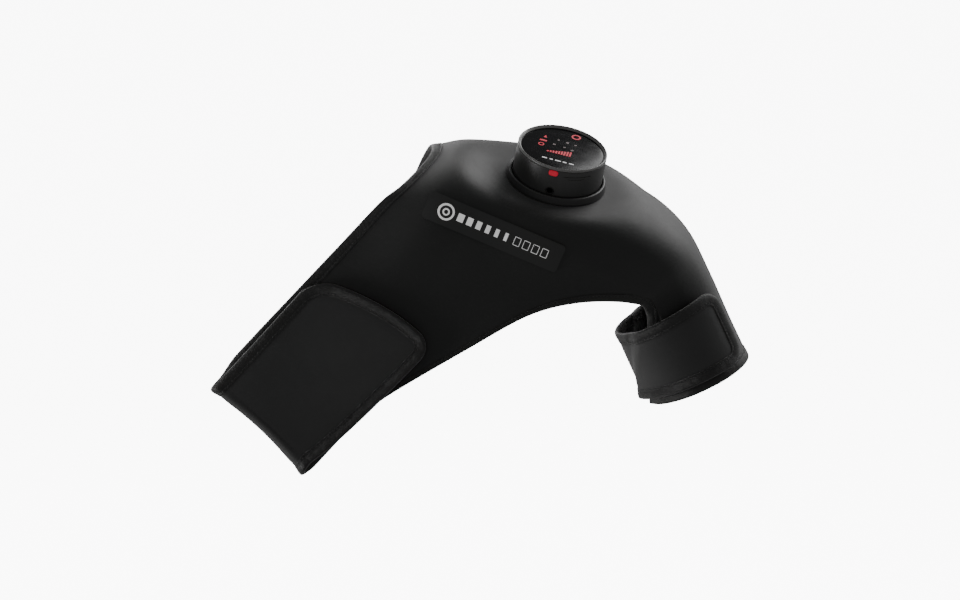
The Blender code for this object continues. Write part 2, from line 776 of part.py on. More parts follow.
CLAMP_HIGH = SEAT - NEOPRENE - GAP
CLAMP_LOW = CLAMP_HIGH - 1.8
PLATE_LOW = SEAT + GAP
PLATE_HIGH = PLATE_LOW + 1.8
COLLAR_HIGH = SEAT + 7.0
BASE_LOW = PLATE_HIGH + GAP
BASE_HIGH = BASE_LOW + 2.6
WALL_LOW = BASE_HIGH + GAP
TRAY_HIGH = WALL_LOW + 1.4
PARTS_LOW = TRAY_HIGH + GAP
BOARD_LOW = PARTS_LOW + 14.0
LENS_HIGH = RIM_HEIGHT - 2.0
LENS_LOW = LENS_HIGH - 1.2
SHELF_HIGH = LENS_LOW - GAP
SHELF_LOW = SHELF_HIGH - 1.3
SHELF_RADIUS = 30.5
LENS_RADIUS = 34.8
WALL_INNER = MODULE_RADIUS - MODULE_WALL
BUTTON_HEIGHT = RIM_HEIGHT - 5.4
BUTTON_SIZE = (8.0, 4.6)
BUTTON_PROUD = 0.7
SOCKET_HEIGHT = RIM_HEIGHT - 22.6
SOCKET_RADIUS = 3.4
DOCK_SCREW_CIRCLE = 33.6
DOCK_SCREWS = [math.radians(a) for a in (45, 135, 225, 315)]
TRAY_SCREW_CIRCLE = 30.0
TRAY_SCREWS = [math.radians(a) for a in (30, 150, 270)]
FACING_OUT = Matrix.Rotation(math.radians(90), 4, "X")


def on_circle(circle, angle):
    """A point on a circle about the module's axis."""
    return circle * math.cos(angle), circle * math.sin(angle)


def rod(low, high, radius):
    """Outline of a plain turned rod."""
    return [(0, high), (0, low), (radius, low), (radius, high)]


def ring(inner, outer, low, high):
    """Outline of a plain turned ring."""
    return [(inner, low), (outer, low), (outer, high), (inner, high)]


def screws(name, circle, angles, low, high, radius, pieces, mat, frame):
    """Screws on a circle, and their clearance holes in the pieces that they pass through."""
    for k, angle in enumerate(angles):
        centre = on_circle(circle, angle)
        turned(f"{name}_{k + 1}", rod(low, high, radius), mat, frame, 10, centre)
        for piece in pieces:
            hole = turned(f"{piece.name}_hole_{k + 1}", rod(low - 3, high + 3, radius + 0.25), mat, frame, 10,
                          centre)
            cut(piece, hole)


def dock(shell, rubber, plastic, steel, frame):
    """What stays on the wrap: collar, plate, clamp ring, grommet and the screws that hold them."""
    turned("dock_collar", [(39.0, PLATE_LOW + GAP), (41.6, PLATE_LOW + GAP), (41.6, PLATE_LOW + 3.0),
                           (41.0, COLLAR_HIGH - 0.7), (40.4, COLLAR_HIGH), (39.2, COLLAR_HIGH),
                           (38.6, COLLAR_HIGH - 0.6), (38.6, PLATE_LOW + 0.5)], rubber, frame, 40)
    plate = turned("dock_plate", ring(9.3, 38.0, PLATE_LOW, PLATE_HIGH), plastic, frame, 24)
    clamp = turned("dock_clamp_ring", ring(25.0, 38.0, CLAMP_LOW, CLAMP_HIGH), plastic, frame, 24)
    turned("air_grommet", [(3.5, PLATE_LOW - 3.0), (7.0, PLATE_LOW - 3.0), (9.0, PLATE_LOW - 1.0),
                           (9.0, PLATE_HIGH - 0.1), (3.5, PLATE_HIGH - 0.1)], rubber, frame, 20)
    screws("dock_screw", DOCK_SCREW_CIRCLE, DOCK_SCREWS, CLAMP_LOW + 0.2, PLATE_HIGH - 0.1, 1.5,
           (plate, clamp, shell), steel, frame)


def casing(plastic, satin, glass, rubber, steel, frame):
    """Base, housing, bezel and lens of the module."""
    base = turned("module_base", [(3.4, BASE_LOW), (36.4, BASE_LOW), (37.6, BASE_LOW + 1.0),
                                  (37.6, BASE_HIGH), (3.4, BASE_HIGH)], plastic, frame, 32)
    top = RIM_HEIGHT - 2.2 - GAP
    housing = turned("module_housing", [(WALL_INNER, WALL_LOW), (MODULE_RADIUS, WALL_LOW),
                                        (MODULE_RADIUS, top), (WALL_INNER, top), (WALL_INNER, SHELF_HIGH),
                                        (SHELF_RADIUS, SHELF_HIGH), (SHELF_RADIUS, SHELF_LOW),
                                        (WALL_INNER, SHELF_LOW)], plastic, frame, 48)
    width, height = BUTTON_SIZE
    slot = prism("button_slot", rounded_box(width + 0.7, height + 0.7, (height + 0.7) / 2 - 0.01, 5), 29, 42,
                 plastic, frame, Matrix.Translation((0, 0, BUTTON_HEIGHT)) @ FACING_OUT)
    cut(housing, slot)
    socket = turned("socket_hole", rod(33, 42, SOCKET_RADIUS + GAP), plastic, frame, 24,
                    place=Matrix.Translation((0, 0, SOCKET_HEIGHT)) @ FACING_OUT)
    cut(housing, socket)
    turned("bezel_ring", [(MODULE_RADIUS, RIM_HEIGHT - 2.2), (MODULE_RADIUS, RIM_HEIGHT - 0.6),
                          (37.5, RIM_HEIGHT), (36.9, RIM_HEIGHT), (35.4, RIM_HEIGHT - 1.6),
                          (LENS_RADIUS + GAP, RIM_HEIGHT - 2.2)],
           satin, frame, 48)
    turned("display_lens", rod(LENS_LOW, LENS_HIGH, LENS_RADIUS), glass, frame, 48)
    turned("housing_seal", ring(34.8, 35.6, WALL_LOW, WALL_LOW + 1.3), rubber, frame, 24)
    tray = turned("inner_tray", ring(4.5, 34.2, WALL_LOW, TRAY_HIGH), plastic, frame, 24)
    screws("module_screw", TRAY_SCREW_CIRCLE, TRAY_SCREWS, BASE_LOW + 0.2, TRAY_HIGH - 0.1, 1.2,
           (base, tray), steel, frame)


def works(plastic, board_mat, foil, steel, rubber, screen, frame):
    """What the module holds: battery, pump, valve, air line, board, screen, socket and switch."""
    prism("battery_cell", shifted(rounded_box(40, 21, 1.5, 2), 0, -15), PARTS_LOW, PARTS_LOW + 7, foil, frame)
    pump_centre = PARTS_LOW + 6.6
    turned("air_pump", rod(-16, 4, 6.5), steel, frame, 20,
           place=Matrix.Translation((0, 20.5, pump_centre)) @ Matrix.Rotation(math.radians(90), 4, "Y"))
    prism("relief_valve", shifted(rounded_box(10, 9, 1, 2), 13.5, 20.5), PARTS_LOW, PARTS_LOW + 11, plastic,
          frame)
    turned("air_nipple", ring(1.1, 3.1, PLATE_LOW - 2.0, PARTS_LOW + 3.0), plastic, frame, 16)
    air_tube(rubber, frame, pump_centre)
    turned("main_board", rod(BOARD_LOW, BOARD_LOW + 1.6, 34.0), board_mat, frame, 32)
    prism("display_panel", rounded_box(44, 38, 2, 2), SHELF_HIGH - 2.4, SHELF_HIGH, screen, frame)
    back, front = 28.6, MODULE_RADIUS - 0.3
    turned("charge_socket", [(0, back), (SOCKET_RADIUS, back), (SOCKET_RADIUS, front), (2.5, front),
                             (2.5, back + 1.5), (0, back + 1.5)], plastic, frame, 24,
           place=Matrix.Translation((0, 0, SOCKET_HEIGHT)) @ FACING_OUT)
    prism("button_switch", rounded_box(6, 2.4, 0.4, 1), 31.0, WALL_INNER - 0.8, plastic, frame,
          Matrix.Translation((0, 0, BUTTON_HEIGHT - 2.0)) @ FACING_OUT)


def air_tube(mat, frame, pump_centre):
    """The hose from the nipple up and back to the pump, as a bevelled curve."""
    low = PARTS_LOW + 3.0 + GAP
    high = pump_centre + 1.0
    bend = 4.0
    end = 20.5 - 6.5 - GAP
    route = [(0, 0, low)]
    for angle in steps(0, math.pi / 2, 5):
        route.append((0, bend * (1 - math.cos(angle)), high - bend + bend * math.sin(angle)))
    route.append((0, end, high))
    curve = bpy.data.curves.new("air_tube", "CURVE")
    curve.dimensions = "3D"
    curve.bevel_depth = 1.6 * MM
    curve.bevel_resolution = 2
    curve.use_fill_caps = True
    line = curve.splines.new("POLY")
    line.points.add(len(route) - 1)
    for point, place in zip(line.points, route):
        point.co = (*[c * MM for c in place], 1.0)
    curve.materials.append(mat)
    obj = bpy.data.objects.new("air_tube", curve)
    bpy.context.scene.collection.objects.link(obj)
    obj.parent = frame


def power_button(mat, module):
    """The oval button under the rim, on its own empty: it travels towards the module's axis."""
    width, height = BUTTON_SIZE
    place = Matrix.Translation((0, 0, BUTTON_HEIGHT)) @ FACING_OUT
    button = prism("power_button", rounded_box(width, height, height / 2 - 0.01, 5),
                   WALL_INNER + GAP, MODULE_RADIUS + BUTTON_PROUD, mat, None, place)
    button.parent = module


def laid_on(loop_mat, label_mat):
    """The label and the loop patches on the skin."""
    label = plane_frame((-50, -60, -17), (0.918, 0.0, -0.397), (0.05, -0.97, 0.25))
    applique("label_patch", label, (121, 23.5), label_mat, 12, 3)
    landing = plane_frame(band_point(92, BAND_WIDTH / 2, 0), BAND_ALONG, BAND_OUT)
    applique("chest_loop_patch", landing, (58, 72), loop_mat, 6, 5)
    blade = plane_frame((-92, 97, -58), BAND_ALONG, (0, 1, 0))
    applique("back_loop_patch", blade, (42, 52), loop_mat, 6, 6)


def build():
    """Makes every piece."""
    for obj in list(bpy.data.objects):
        bpy.data.objects.remove(obj, do_unlink=True)
    neoprene = material("neoprene", (0.012, 0.012, 0.011), 0.75)
    tape_mat = material("tape", (0.010, 0.010, 0.010), 0.7)
    hook_mat = material("hook", (0.02, 0.02, 0.02), 0.9)
    loop_mat = material("loop", (0.015, 0.015, 0.015), 0.95)
    gel_mat = material("gel", (0.12, 0.32, 0.55), 0.35)
    bladder_mat = material("bladder", (0.10, 0.10, 0.11), 0.5)
    rubber = material("rubber", (0.018, 0.018, 0.018), 0.6)
    plastic = material("plastic", (0.02, 0.02, 0.021), 0.45)
    satin = material("satin", (0.09, 0.09, 0.09), 0.3)
    glass = material("glass", (0.01, 0.01, 0.012), 0.05)
    steel = material("steel", (0.6, 0.6, 0.6), 0.35, 1.0)
    foil = material("foil", (0.45, 0.46, 0.48), 0.4)
    board_mat = material("board", (0.02, 0.16, 0.07), 0.5)
    screen = material("screen", (0.02, 0.02, 0.02), 0.2)
    red = material("button_red", (0.68, 0.03, 0.07), 0.4)

    module = empty_at("module_frame", module_matrix())
    shell = outer_shell(neoprene, module)
    cold_pack(neoprene, gel_mat, bladder_mat)
    skin_tapes(tape_mat)
    laid_on(loop_mat, rubber)

    chest_hinge = empty_at("chest_flap_hinge", joint_matrix(band_point(0, 0, FLAP_LIFT_FOLD / 2), BAND_ACROSS))
    chest_strap(neoprene)
    chest_flap(neoprene, tape_mat, hook_mat, chest_hinge)
    hinge_radius = strap_radius(STRAP_HINGE, (STRAP_LOW + STRAP_HIGH) / 2) + STRAP_THICK / 2
    arm_origin = arm_point(0, STRAP_HINGE, hinge_radius)
    arm_hinge = empty_at("arm_flap_hinge", joint_matrix(arm_origin, -ARM_UP))
    arm_strap(neoprene, tape_mat, hook_mat, loop_mat, arm_hinge)

    dock(shell, rubber, plastic, steel, module)
    casing(plastic, satin, glass, rubber, steel, module)
    works(plastic, board_mat, foil, steel, rubber, screen, module)
    power_button(red, module)


if __name__ == "__main__":
    build()
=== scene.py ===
"""Cold compression wrap: the fabric, rubber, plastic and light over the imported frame.

Points are worked out in millimetres in the frame of the model, and meshes are made in metres.
"""
import math

import bmesh
import bpy
import numpy as np
from mathutils import Matrix, Vector
from mathutils.bvhtree import BVHTree


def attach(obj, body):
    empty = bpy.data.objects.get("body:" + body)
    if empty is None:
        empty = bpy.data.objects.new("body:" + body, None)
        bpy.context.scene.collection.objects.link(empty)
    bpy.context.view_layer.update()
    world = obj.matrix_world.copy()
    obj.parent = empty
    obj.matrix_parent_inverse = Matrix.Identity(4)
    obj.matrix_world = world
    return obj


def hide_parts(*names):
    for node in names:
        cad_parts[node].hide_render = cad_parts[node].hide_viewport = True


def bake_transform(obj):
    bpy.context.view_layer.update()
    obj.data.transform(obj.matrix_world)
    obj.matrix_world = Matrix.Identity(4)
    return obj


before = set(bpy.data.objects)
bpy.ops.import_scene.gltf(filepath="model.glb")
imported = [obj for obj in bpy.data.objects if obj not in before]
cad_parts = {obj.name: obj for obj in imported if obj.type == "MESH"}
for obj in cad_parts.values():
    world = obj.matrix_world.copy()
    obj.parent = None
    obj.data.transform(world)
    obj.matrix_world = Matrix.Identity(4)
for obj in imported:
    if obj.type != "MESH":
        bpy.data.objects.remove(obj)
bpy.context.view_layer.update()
MM = 0.001

# Layers of the cap: the skin's and the gel's thickness, and depths under the skin's outer face
NEOPRENE = 3.5
PACK_TOP = 6.1
GEL_TOP = 8.0
GEL = 3.5
LINING_TOP = 11.8
SEAT = 12.8

# Module: how its axis leans, its seat in the skin, and heights along the axis from the seat's foot
LEAN_FORWARD = math.radians(15.2)
LEAN_OUT = math.radians(10.6)
TURN = math.radians(-8.5)
SEAT_FLAT = 49.0
SEAT_BLEND = 92.0
HOLE_RADIUS = 30.0
RIM = SEAT + 33.0
RADIUS = 38.0
LENS_TOP = RIM - 2.0
BUTTON_HEIGHT = RIM - 5.4
SOCKET_HEIGHT = RIM - 22.6

# Arm: the sleeve's axis and hem, and the strap by angle round the arm and height over the hem
ARM_TILT = math.radians(24)
ARM_UP = np.array([-math.sin(ARM_TILT), 0.0, math.cos(ARM_TILT)])
ARM_OUT = np.array([math.cos(ARM_TILT), 0.0, math.sin(ARM_TILT)])
BACKWARD = np.array([0.0, 1.0, 0.0])
HEM_CENTRE = np.array([122.5, 12.0, -163.2])
SLEEVE_RADIUS = 46.5
SLEEVE_STEP = 40.0
SLEEVE_OPEN_FRONT = [math.radians(a) for a in (-15, -40, -70)]
STRAP_THICK = 3.0
STRAP_BACK = math.radians(-165)
STRAP_HINGE = math.radians(-80)
STRAP_TIP = math.radians(58)
STRAP_LOW = 9.0
STRAP_HIGH = 65.0
STRAP_RISE = 8.0
STRAP_CORNER = 15.0
STRAP_DIP = 6.0
DIP_MARGIN = math.radians(2.5)
DIP_RAMP = math.radians(20)

# Chest strap: the fold's ends, the band by distance from the fold and across, and the flap
FOLD_UPPER = np.array([-286.4, -80.0, -149.0])
FOLD_LOWER = np.array([-210.8, -86.0, -218.7])
BAND_RUN = np.array([0.69, 0.10, 0.72])
FOLD_NOSE = 7.0
SEAM = 60.0
BAND_LOW = -3.4
BAND_HIGH = 106.4
BAND_SPREAD = 30.0
FLAP_LENGTH = 119.9
FLAP_SLANT = 0.56
FLAP_BOW = 0.0029
FLAP_CORNER_HIGH = 18.5
FLAP_CORNER_LOW = 15.5
FLAP_FOOT = 99.5
FLAP_SPREAD = 10.5
FLAP_SPREAD_RUN = 45.0
FLAP_THICK = 3.2
FLAP_CLOSE = 85.0
FLAP_LIFT_END = 4.6
FOLD_REACH = 6.0
FLAP_START = 5.0
FOLD_BOW = 3.8

# Bindings and their seams
TAPE_WIDTH = 8.6
STITCH_IN = 6.7
STITCH_PITCH = 3.1
STITCH_LENGTH = 2.3

# Ribs over the shoulder: crest, reach to the front and to the back, drop, front end and back end.
# Where the front end is None, the rib ends at the chest strap's seam.
RIBS = [
    ((-101, 20, 33), 60, 64, 53, None, (-140, 96, -62)),
    ((-74, 27, 37), 90, 63, 60, None, (-112, 100, -92)),
    ((-42, 30, 33.5), 96, 62, 60, None, (-84, 103, -121)),
    ((-8, 30, 25), 96, 62, 60, (-134, -78.5, -151), (-52, 101, -108)),
    ((27, 29, 15.5), 94, 62, 60, (-70, -76, -113), (-20, 98, -94)),
    ((60, 27, 2.5), 90, 61, 58, (-19, -70, -86), (12, 93, -84)),
    ((91, 23, -15), 81, 59, 54, (23, -64, -77), (40, 85, -79)),
    ((115, 18, -38), 64, 52, 50, (65, -47.5, -81.7), (64, 72, -83)),
]
NECK_FLARE = np.array([-0.82, 0.0, -0.57])
CORNER_RIB = 2
ROUNDNESS = 2.5
NECK_ROUNDNESS = 1.6


def unit(v):
    """The vectors v at length 1."""
    return v / np.linalg.norm(v, axis=-1, keepdims=True)


def smooth(x):
    """Smooth step from 0 to 1."""
    x = np.clip(x, 0.0, 1.0)
    return x * x * (3.0 - 2.0 * x)


BAND_ACROSS = unit(FOLD_LOWER - FOLD_UPPER)
BAND_WIDTH = float(np.linalg.norm(FOLD_LOWER - FOLD_UPPER))
BAND_ALONG = unit(BAND_RUN - BAND_ACROSS * float(np.dot(BAND_RUN, BAND_ACROSS)))
BAND_OUT = np.cross(BAND_ACROSS, BAND_ALONG)
FOLD_ORIGIN = FOLD_UPPER + FOLD_NOSE * BAND_ALONG
AXIS = unit(np.array([math.tan(LEAN_OUT), -math.tan(LEAN_FORWARD), 1.0]))


def band_point(along, across, out):
    """Points of the chest strap, measured from the fold axis."""
    along, across, out = np.broadcast_arrays(*[np.asarray(x, float)[..., None] for x in (along, across, out)])
    return FOLD_ORIGIN + along * BAND_ALONG + across * BAND_ACROSS + out * BAND_OUT


def arm_point(height, angle, radius):
    """Points round the arm: height above the hem, angle from the front towards the outside."""
    height, angle, radius = np.broadcast_arrays(*[np.asarray(x, float)[..., None]
                                                  for x in (height, angle, radius)])
    return HEM_CENTRE + height * ARM_UP + radius * (np.sin(angle) * ARM_OUT - np.cos(angle) * BACKWARD)


def arm_normal(angle):
    """Directions straight out of the arm."""
    return arm_point(0, angle, 1.0) - HEM_CENTRE


def corner_cut(past, radius):
    """How far a round corner cuts in from its side, at distances past the start of its bend."""
    past = np.maximum(past, 0.0)
    return radius - np.sqrt(np.maximum(radius ** 2 - past ** 2, 0.0))


def module_matrix():
    """Axes of the module: X to its right, Y to the top of its display, Z out of its face."""
    up = Vector(AXIS)
    away = (Vector((0, 1, 0)) - up * up.y).normalized()
    away = Matrix.Rotation(TURN, 3, up) @ away
    return Matrix((away.cross(up), away, up)).transposed().to_4x4()


MODULE = module_matrix()

# Skin surface -------------------------------------------------------------------------------------


def shoulder_side(crest, inward, drop, reach, end, sign, roundness):
    """Points of one half rib: a rounded shoulder, then a straight run to the panel's edge."""
    points = []
    for degrees in (30, 60, 90):
        angle = math.radians(degrees)
        out = math.sin(angle) ** (2 / roundness)
        fall = 1 - max(math.cos(angle), 0.0) ** (2 / roundness)
        points.append(crest + inward * drop * fall + BACKWARD * sign * reach * out)
    brow = points[-1]
    return points + [brow + (end - brow) / 3, brow + (end - brow) * 2 / 3, end]


def shoulder_rib(index):
    """A rib over the shoulder, from the front edge to the back edge."""
    crest, front, back, drop, front_end, back_end = RIBS[index]
    crest = np.array(crest, float)
    if front_end is None:
        front_end = band_point(SEAM, BAND_LOW + (BAND_HIGH - BAND_LOW) * index / 2, 0)
    sides = []
    for end, reach, sign in ((np.array(front_end, float), front, -1), (np.array(back_end, float), back, 1)):
        run = end - crest
        inward = unit(np.array([run[0], 0.0, run[2]]))
        roundness = ROUNDNESS
        if index == 0 and sign < 0:
            inward = NECK_FLARE
            roundness = NECK_ROUNDNESS
        sides.append(shoulder_side(crest, inward, drop, reach, end, sign, roundness))
    return sides[0][::-1] + [crest] + sides[1]


def sleeve_rib(height, opening):
    """A rib round the sleeve, from its front inner edge over the outside to its back inner edge."""
    front = [opening * k / 3 for k in (3, 2, 1)] + [math.radians(a) for a in (0, 30, 60)]
    return list(arm_point(height, front + [math.pi / 2] + [math.pi - a for a in front[::-1]], SLEEVE_RADIUS))


def net_slopes(net):
    """Slopes of the net before and after each rib, with sharp corners at the panels' outer ends."""
    padded = np.concatenate([2 * net[:1] - net[1:2], net, 2 * net[-1:] - net[-2:-1]])
    before = (padded[2:] - padded[:-2]) / 2
    after = before.copy()
    sharp = np.zeros((net.shape[1], 1))
    sharp[0] = sharp[-1] = 1.0
    sharp[1] = sharp[-2] = 0.6
    k = CORNER_RIB
    before[k] += sharp * (net[k] - net[k - 1] - before[k])
    after[k] += sharp * (net[k + 1] - net[k] - after[k])
    before[k - 1] += sharp * (net[k] - net[k - 1] - before[k - 1])
    after[k - 1] = before[k - 1]
    return before, after


def widened(net):
    """The net with one more column beyond each side, for the spline."""
    return np.concatenate([2 * net[:, :1] - net[:, 1:2], net, 2 * net[:, -1:] - net[:, -2:-1]], axis=1)


NET = np.array([shoulder_rib(i) for i in range(len(RIBS))]
               + [sleeve_rib(SLEEVE_STEP * (2 - k), a) for k, a in enumerate(SLEEVE_OPEN_FRONT)])
T_END = NET.shape[0] - 1
V_END = NET.shape[1] - 1
V_CREST = V_END / 2
ARRIVE, LEAVE = [widened(slopes) for slopes in net_slopes(NET)]
WIDE = widened(NET)


def about_axis(point):
    """Heights along the module's axis, and distances from it."""
    height = point @ AXIS
    return height, np.linalg.norm(point - height[..., None] * AXIS, axis=-1)


def seat_weight(point):
    """1 on the flat seat of the module, falling to 0 on the free skin."""
    height, radial = about_axis(point)
    near = 1 - smooth((np.abs(height - SEAT) - 25) / 40)
    return (1 - smooth((radial - SEAT_FLAT) / (SEAT_BLEND - SEAT_FLAT))) * near


def skin(t, v):
    """Points of the outer skin at rib t and place v along it."""
    t, v = np.broadcast_arrays(np.asarray(t, float), np.asarray(v, float))
    i = np.clip(t.astype(int), 0, T_END - 1)
    j = np.clip(v.astype(int), 0, V_END - 1)
    f = (t - i)[..., None]
    g = (v - j)[..., None]
    across = (-g / 2 + g * g - g ** 3 / 2, 1 - 2.5 * g * g + 1.5 * g ** 3,
              g / 2 + 2 * g * g - 1.5 * g ** 3, (g ** 3 - g * g) / 2)
    point = 0
    for k, weight in enumerate(across):
        c = j + k
        row = (1 + 2 * f) * (1 - f) ** 2 * WIDE[i, c] + f * (1 - f) ** 2 * LEAVE[i, c]
        row = row + f * f * (3 - 2 * f) * WIDE[i + 1, c] + f * f * (f - 1) * ARRIVE[i + 1, c]
        point = point + weight * row
    lift = (SEAT - point @ AXIS) * seat_weight(point)
    return point + AXIS * lift[..., None]


def skin_normal(t, v):
    """Outward unit normals of the skin."""
    h = 0.02
    run_t = skin(np.clip(t + h, 0, T_END), v) - skin(np.clip(t - h, 0, T_END), v)
    run_v = skin(t, np.clip(v + h, 0, V_END)) - skin(t, np.clip(v - h, 0, V_END))
    return unit(np.cross(run_t, run_v))


def grid(rows, cols):
    """Two grids of values from two lists."""
    return np.meshgrid(np.asarray(rows, float), np.asarray(cols, float), indexing="ij")


def skin_tree():
    """The skin as a search tree, for what is laid on it."""
    t, v = grid(np.linspace(0, T_END, 81), np.linspace(0, V_END, 121))
    points = skin(t, v)
    cols = points.shape[1]
    faces = []
    for i in range(points.shape[0] - 1):
        for j in range(cols - 1):
            a = i * cols + j
            faces.append((a, a + 1, a + cols + 1, a + cols))
    return BVHTree.FromPolygons([Vector(p) for p in points.reshape(-1, 3)], faces)


SKIN = skin_tree()


def laid_point(start, direction):
    """Where a line meets the skin, and the skin's normal turned back along the line."""
    hit, normal, _, _ = SKIN.ray_cast(Vector(start), Vector(direction), 200)
    if normal.dot(Vector(direction)) > 0:
        normal = -normal
    return np.array(hit), np.array(normal)


def panel_height(along, across):
    """Heights of the chest panel over the band's plane."""
    along, across = np.broadcast_arrays(np.asarray(along, float), np.asarray(across, float))
    out = np.zeros(along.shape)
    for place in np.ndindex(along.shape):
        if along[place] > SEAM + 1:
            start = band_point(along[place], np.clip(across[place], 2, BAND_HIGH - 1), 80)
            hit, _ = laid_point(start, -BAND_OUT)
            out[place] = 80 - float(np.dot(start - hit, BAND_OUT))
    return out


# Meshes -------------------------------------------------------------------------------------------

def build_mesh(name, chunks, sharp=50):
    """One object from chunks of (points in millimetres, faces, material, texture places or None)."""
    verts = []
    faces = []
    places = []
    slots = []
    mats = []
    for points, polygons, mat, uv in chunks:
        base = len(verts)
        points = np.asarray(points, float).reshape(-1, 3)
        verts += (points * MM).tolist()
        faces += [tuple(base + k for k in f) for f in polygons]
        places.append(np.zeros((len(points), 2)) if uv is None else np.asarray(uv, float).reshape(-1, 2) * MM)
        if mat not in mats:
            mats.append(mat)
        slots += [mats.index(mat)] * len(polygons)
    mesh = bpy.data.meshes.new(name)
    mesh.from_pydata(verts, [], faces)
    mesh.polygons.foreach_set("material_index", slots)
    for mat in mats:
        mesh.materials.append(mat)
    corners = np.zeros(len(mesh.loops), int)
    mesh.loops.foreach_get("vertex_index", corners)
    layer = mesh.uv_layers.new(name="UVMap")
    layer.data.foreach_set("uv", np.concatenate(places)[corners].ravel())
    bm = bmesh.new()
    bm.from_mesh(mesh)
    bmesh.ops.recalc_face_normals(bm, faces=bm.faces)
    bm.to_mesh(mesh)
    bm.free()
    mesh.shade_smooth()
    mesh.set_sharp_from_angle(angle=math.radians(sharp))
    obj = bpy.data.objects.new(name, mesh)
    bpy.context.scene.collection.objects.link(obj)
    return obj


def lengths(points, axis):
    """Distances along one axis of a grid of points, from its start."""
    step = np.linalg.norm(np.diff(points, axis=axis), axis=-1)
    start = np.zeros_like(np.take(step, [0], axis=axis))
    return np.cumsum(np.concatenate([start, step], axis=axis), axis=axis)


def sheet_chunk(outer, inner, mat, keep=None):
    """A closed sheet between two grids of points; keep says which cells it has."""
    rows, cols = outer.shape[:2]
    if keep is None:
        keep = np.ones((rows - 1, cols - 1), bool)
    wide = np.zeros((rows + 1, cols + 1), bool)
    wide[1:-1, 1:-1] = keep
    base = rows * cols
    faces = []
    for i, j in np.argwhere(keep):
        a = int(i * cols + j)
        b, c, d = a + 1, a + cols + 1, a + cols
        faces.append((a, b, c, d))
        faces.append((base + d, base + c, base + b, base + a))
        sides = ((wide[i, j + 1], a, b), (wide[i + 2, j + 1], c, d), (wide[i + 1, j], d, a),
                 (wide[i + 1, j + 2], b, c))
        for neighbour, p, q in sides:
            if not neighbour:
                faces.append((p, base + p, base + q, q))
    used = sorted({k for f in faces for k in f})
    place = {k: n for n, k in enumerate(used)}
    faces = [tuple(place[k] for k in f) for f in faces]
    uv = np.stack([lengths(outer, 0), lengths(outer, 1)], axis=-1).reshape(-1, 2)
    points = np.concatenate([outer.reshape(-1, 3), inner.reshape(-1, 3)])[used]
    return points, faces, mat, np.concatenate([uv, uv])[used]


def tube_chunk(rings, mat, closed=False):
    """A solid through rings of points, with flat ends unless it closes on itself."""
    count, sides = rings.shape[:2]
    faces = []
    last = count if closed else count - 1
    for i in range(last):
        for j in range(sides):
            k = (j + 1) % sides
            n = (i + 1) % count
            faces.append((i * sides + j, i * sides + k, n * sides + k, n * sides + j))
    if not closed:
        faces += [tuple(range(sides)), tuple(range((count - 1) * sides, count * sides))]
    uv = np.stack([lengths(rings, 0), lengths(rings, 1)], axis=-1)
    return rings.reshape(-1, 3), faces, mat, uv.reshape(-1, 2)


def resample(points, normals, pitch):
    """Places a pitch apart along a path, with their directions and normals."""
    run = lengths(points, 0)
    count = max(int(run[-1] / pitch), 1)
    at = (np.arange(count) + 0.5) * run[-1] / count

    def read(values):
        return np.stack([np.interp(at, run, values[:, k]) for k in range(3)], axis=-1)

    ahead = unit(np.gradient(points, axis=0))
    return read(points), unit(read(ahead)), unit(read(normals))


# Rings of a stitch as (share of its length, share of its radius, height)
STITCH_RINGS = ((-0.5, 0.35, -0.30), (-0.36, 0.85, -0.02), (0.0, 1.0, 0.10), (0.36, 0.85, -0.02),
                (0.5, 0.35, -0.30))


def stitch_chunk(points, normals, mat, pitch=STITCH_PITCH, length=STITCH_LENGTH, radius=0.34):
    """A row of stitches along a path."""
    centres, ahead, up = resample(points, normals, pitch)
    side = np.cross(ahead, up)
    sides = 6
    verts = []
    faces = []
    uv = []
    for n, (c, a, u, s) in enumerate(zip(centres, ahead, up, side)):
        base = len(verts)
        for along, wide, high in STITCH_RINGS:
            for k in range(sides):
                angle = 2 * math.pi * k / sides
                verts.append(c + a * along * length + u * (high + radius * wide * math.cos(angle))
                             + s * radius * wide * math.sin(angle))
                uv.append((along * length + n * pitch, k))
        rings = len(STITCH_RINGS)
        for i in range(rings - 1):
            for k in range(sides):
                p = base + i * sides + k
                q = base + i * sides + (k + 1) % sides
                faces.append((p, q, q + sides, p + sides))
        faces.append(tuple(base + k for k in range(sides)))
        faces.append(tuple(base + (rings - 1) * sides + k for k in range(sides)))
    return np.array(verts), faces, mat, uv


def tape_profile(thickness):
    """Outline of an edge tape as (distance in, height over the outer face)."""
    top = [(TAPE_WIDTH, -0.2), (TAPE_WIDTH, 0.45), (TAPE_WIDTH - 0.35, 0.68), (7.4, 0.62), (STITCH_IN, 0.34),
           (6.0, 0.66), (4.6, 0.98), (2.8, 1.12), (1.2, 1.08)]
    nose = []
    for degrees in (64, 40, 14, -14, -40, -64):
        angle = math.radians(degrees)
        nose.append((0.9 - 2.3 * math.cos(angle), -thickness / 2 + (thickness / 2 + 1.06) * math.sin(angle)))
    bottom = [(x, -thickness - h) for x, h in top[::-1]]
    return top + nose + bottom


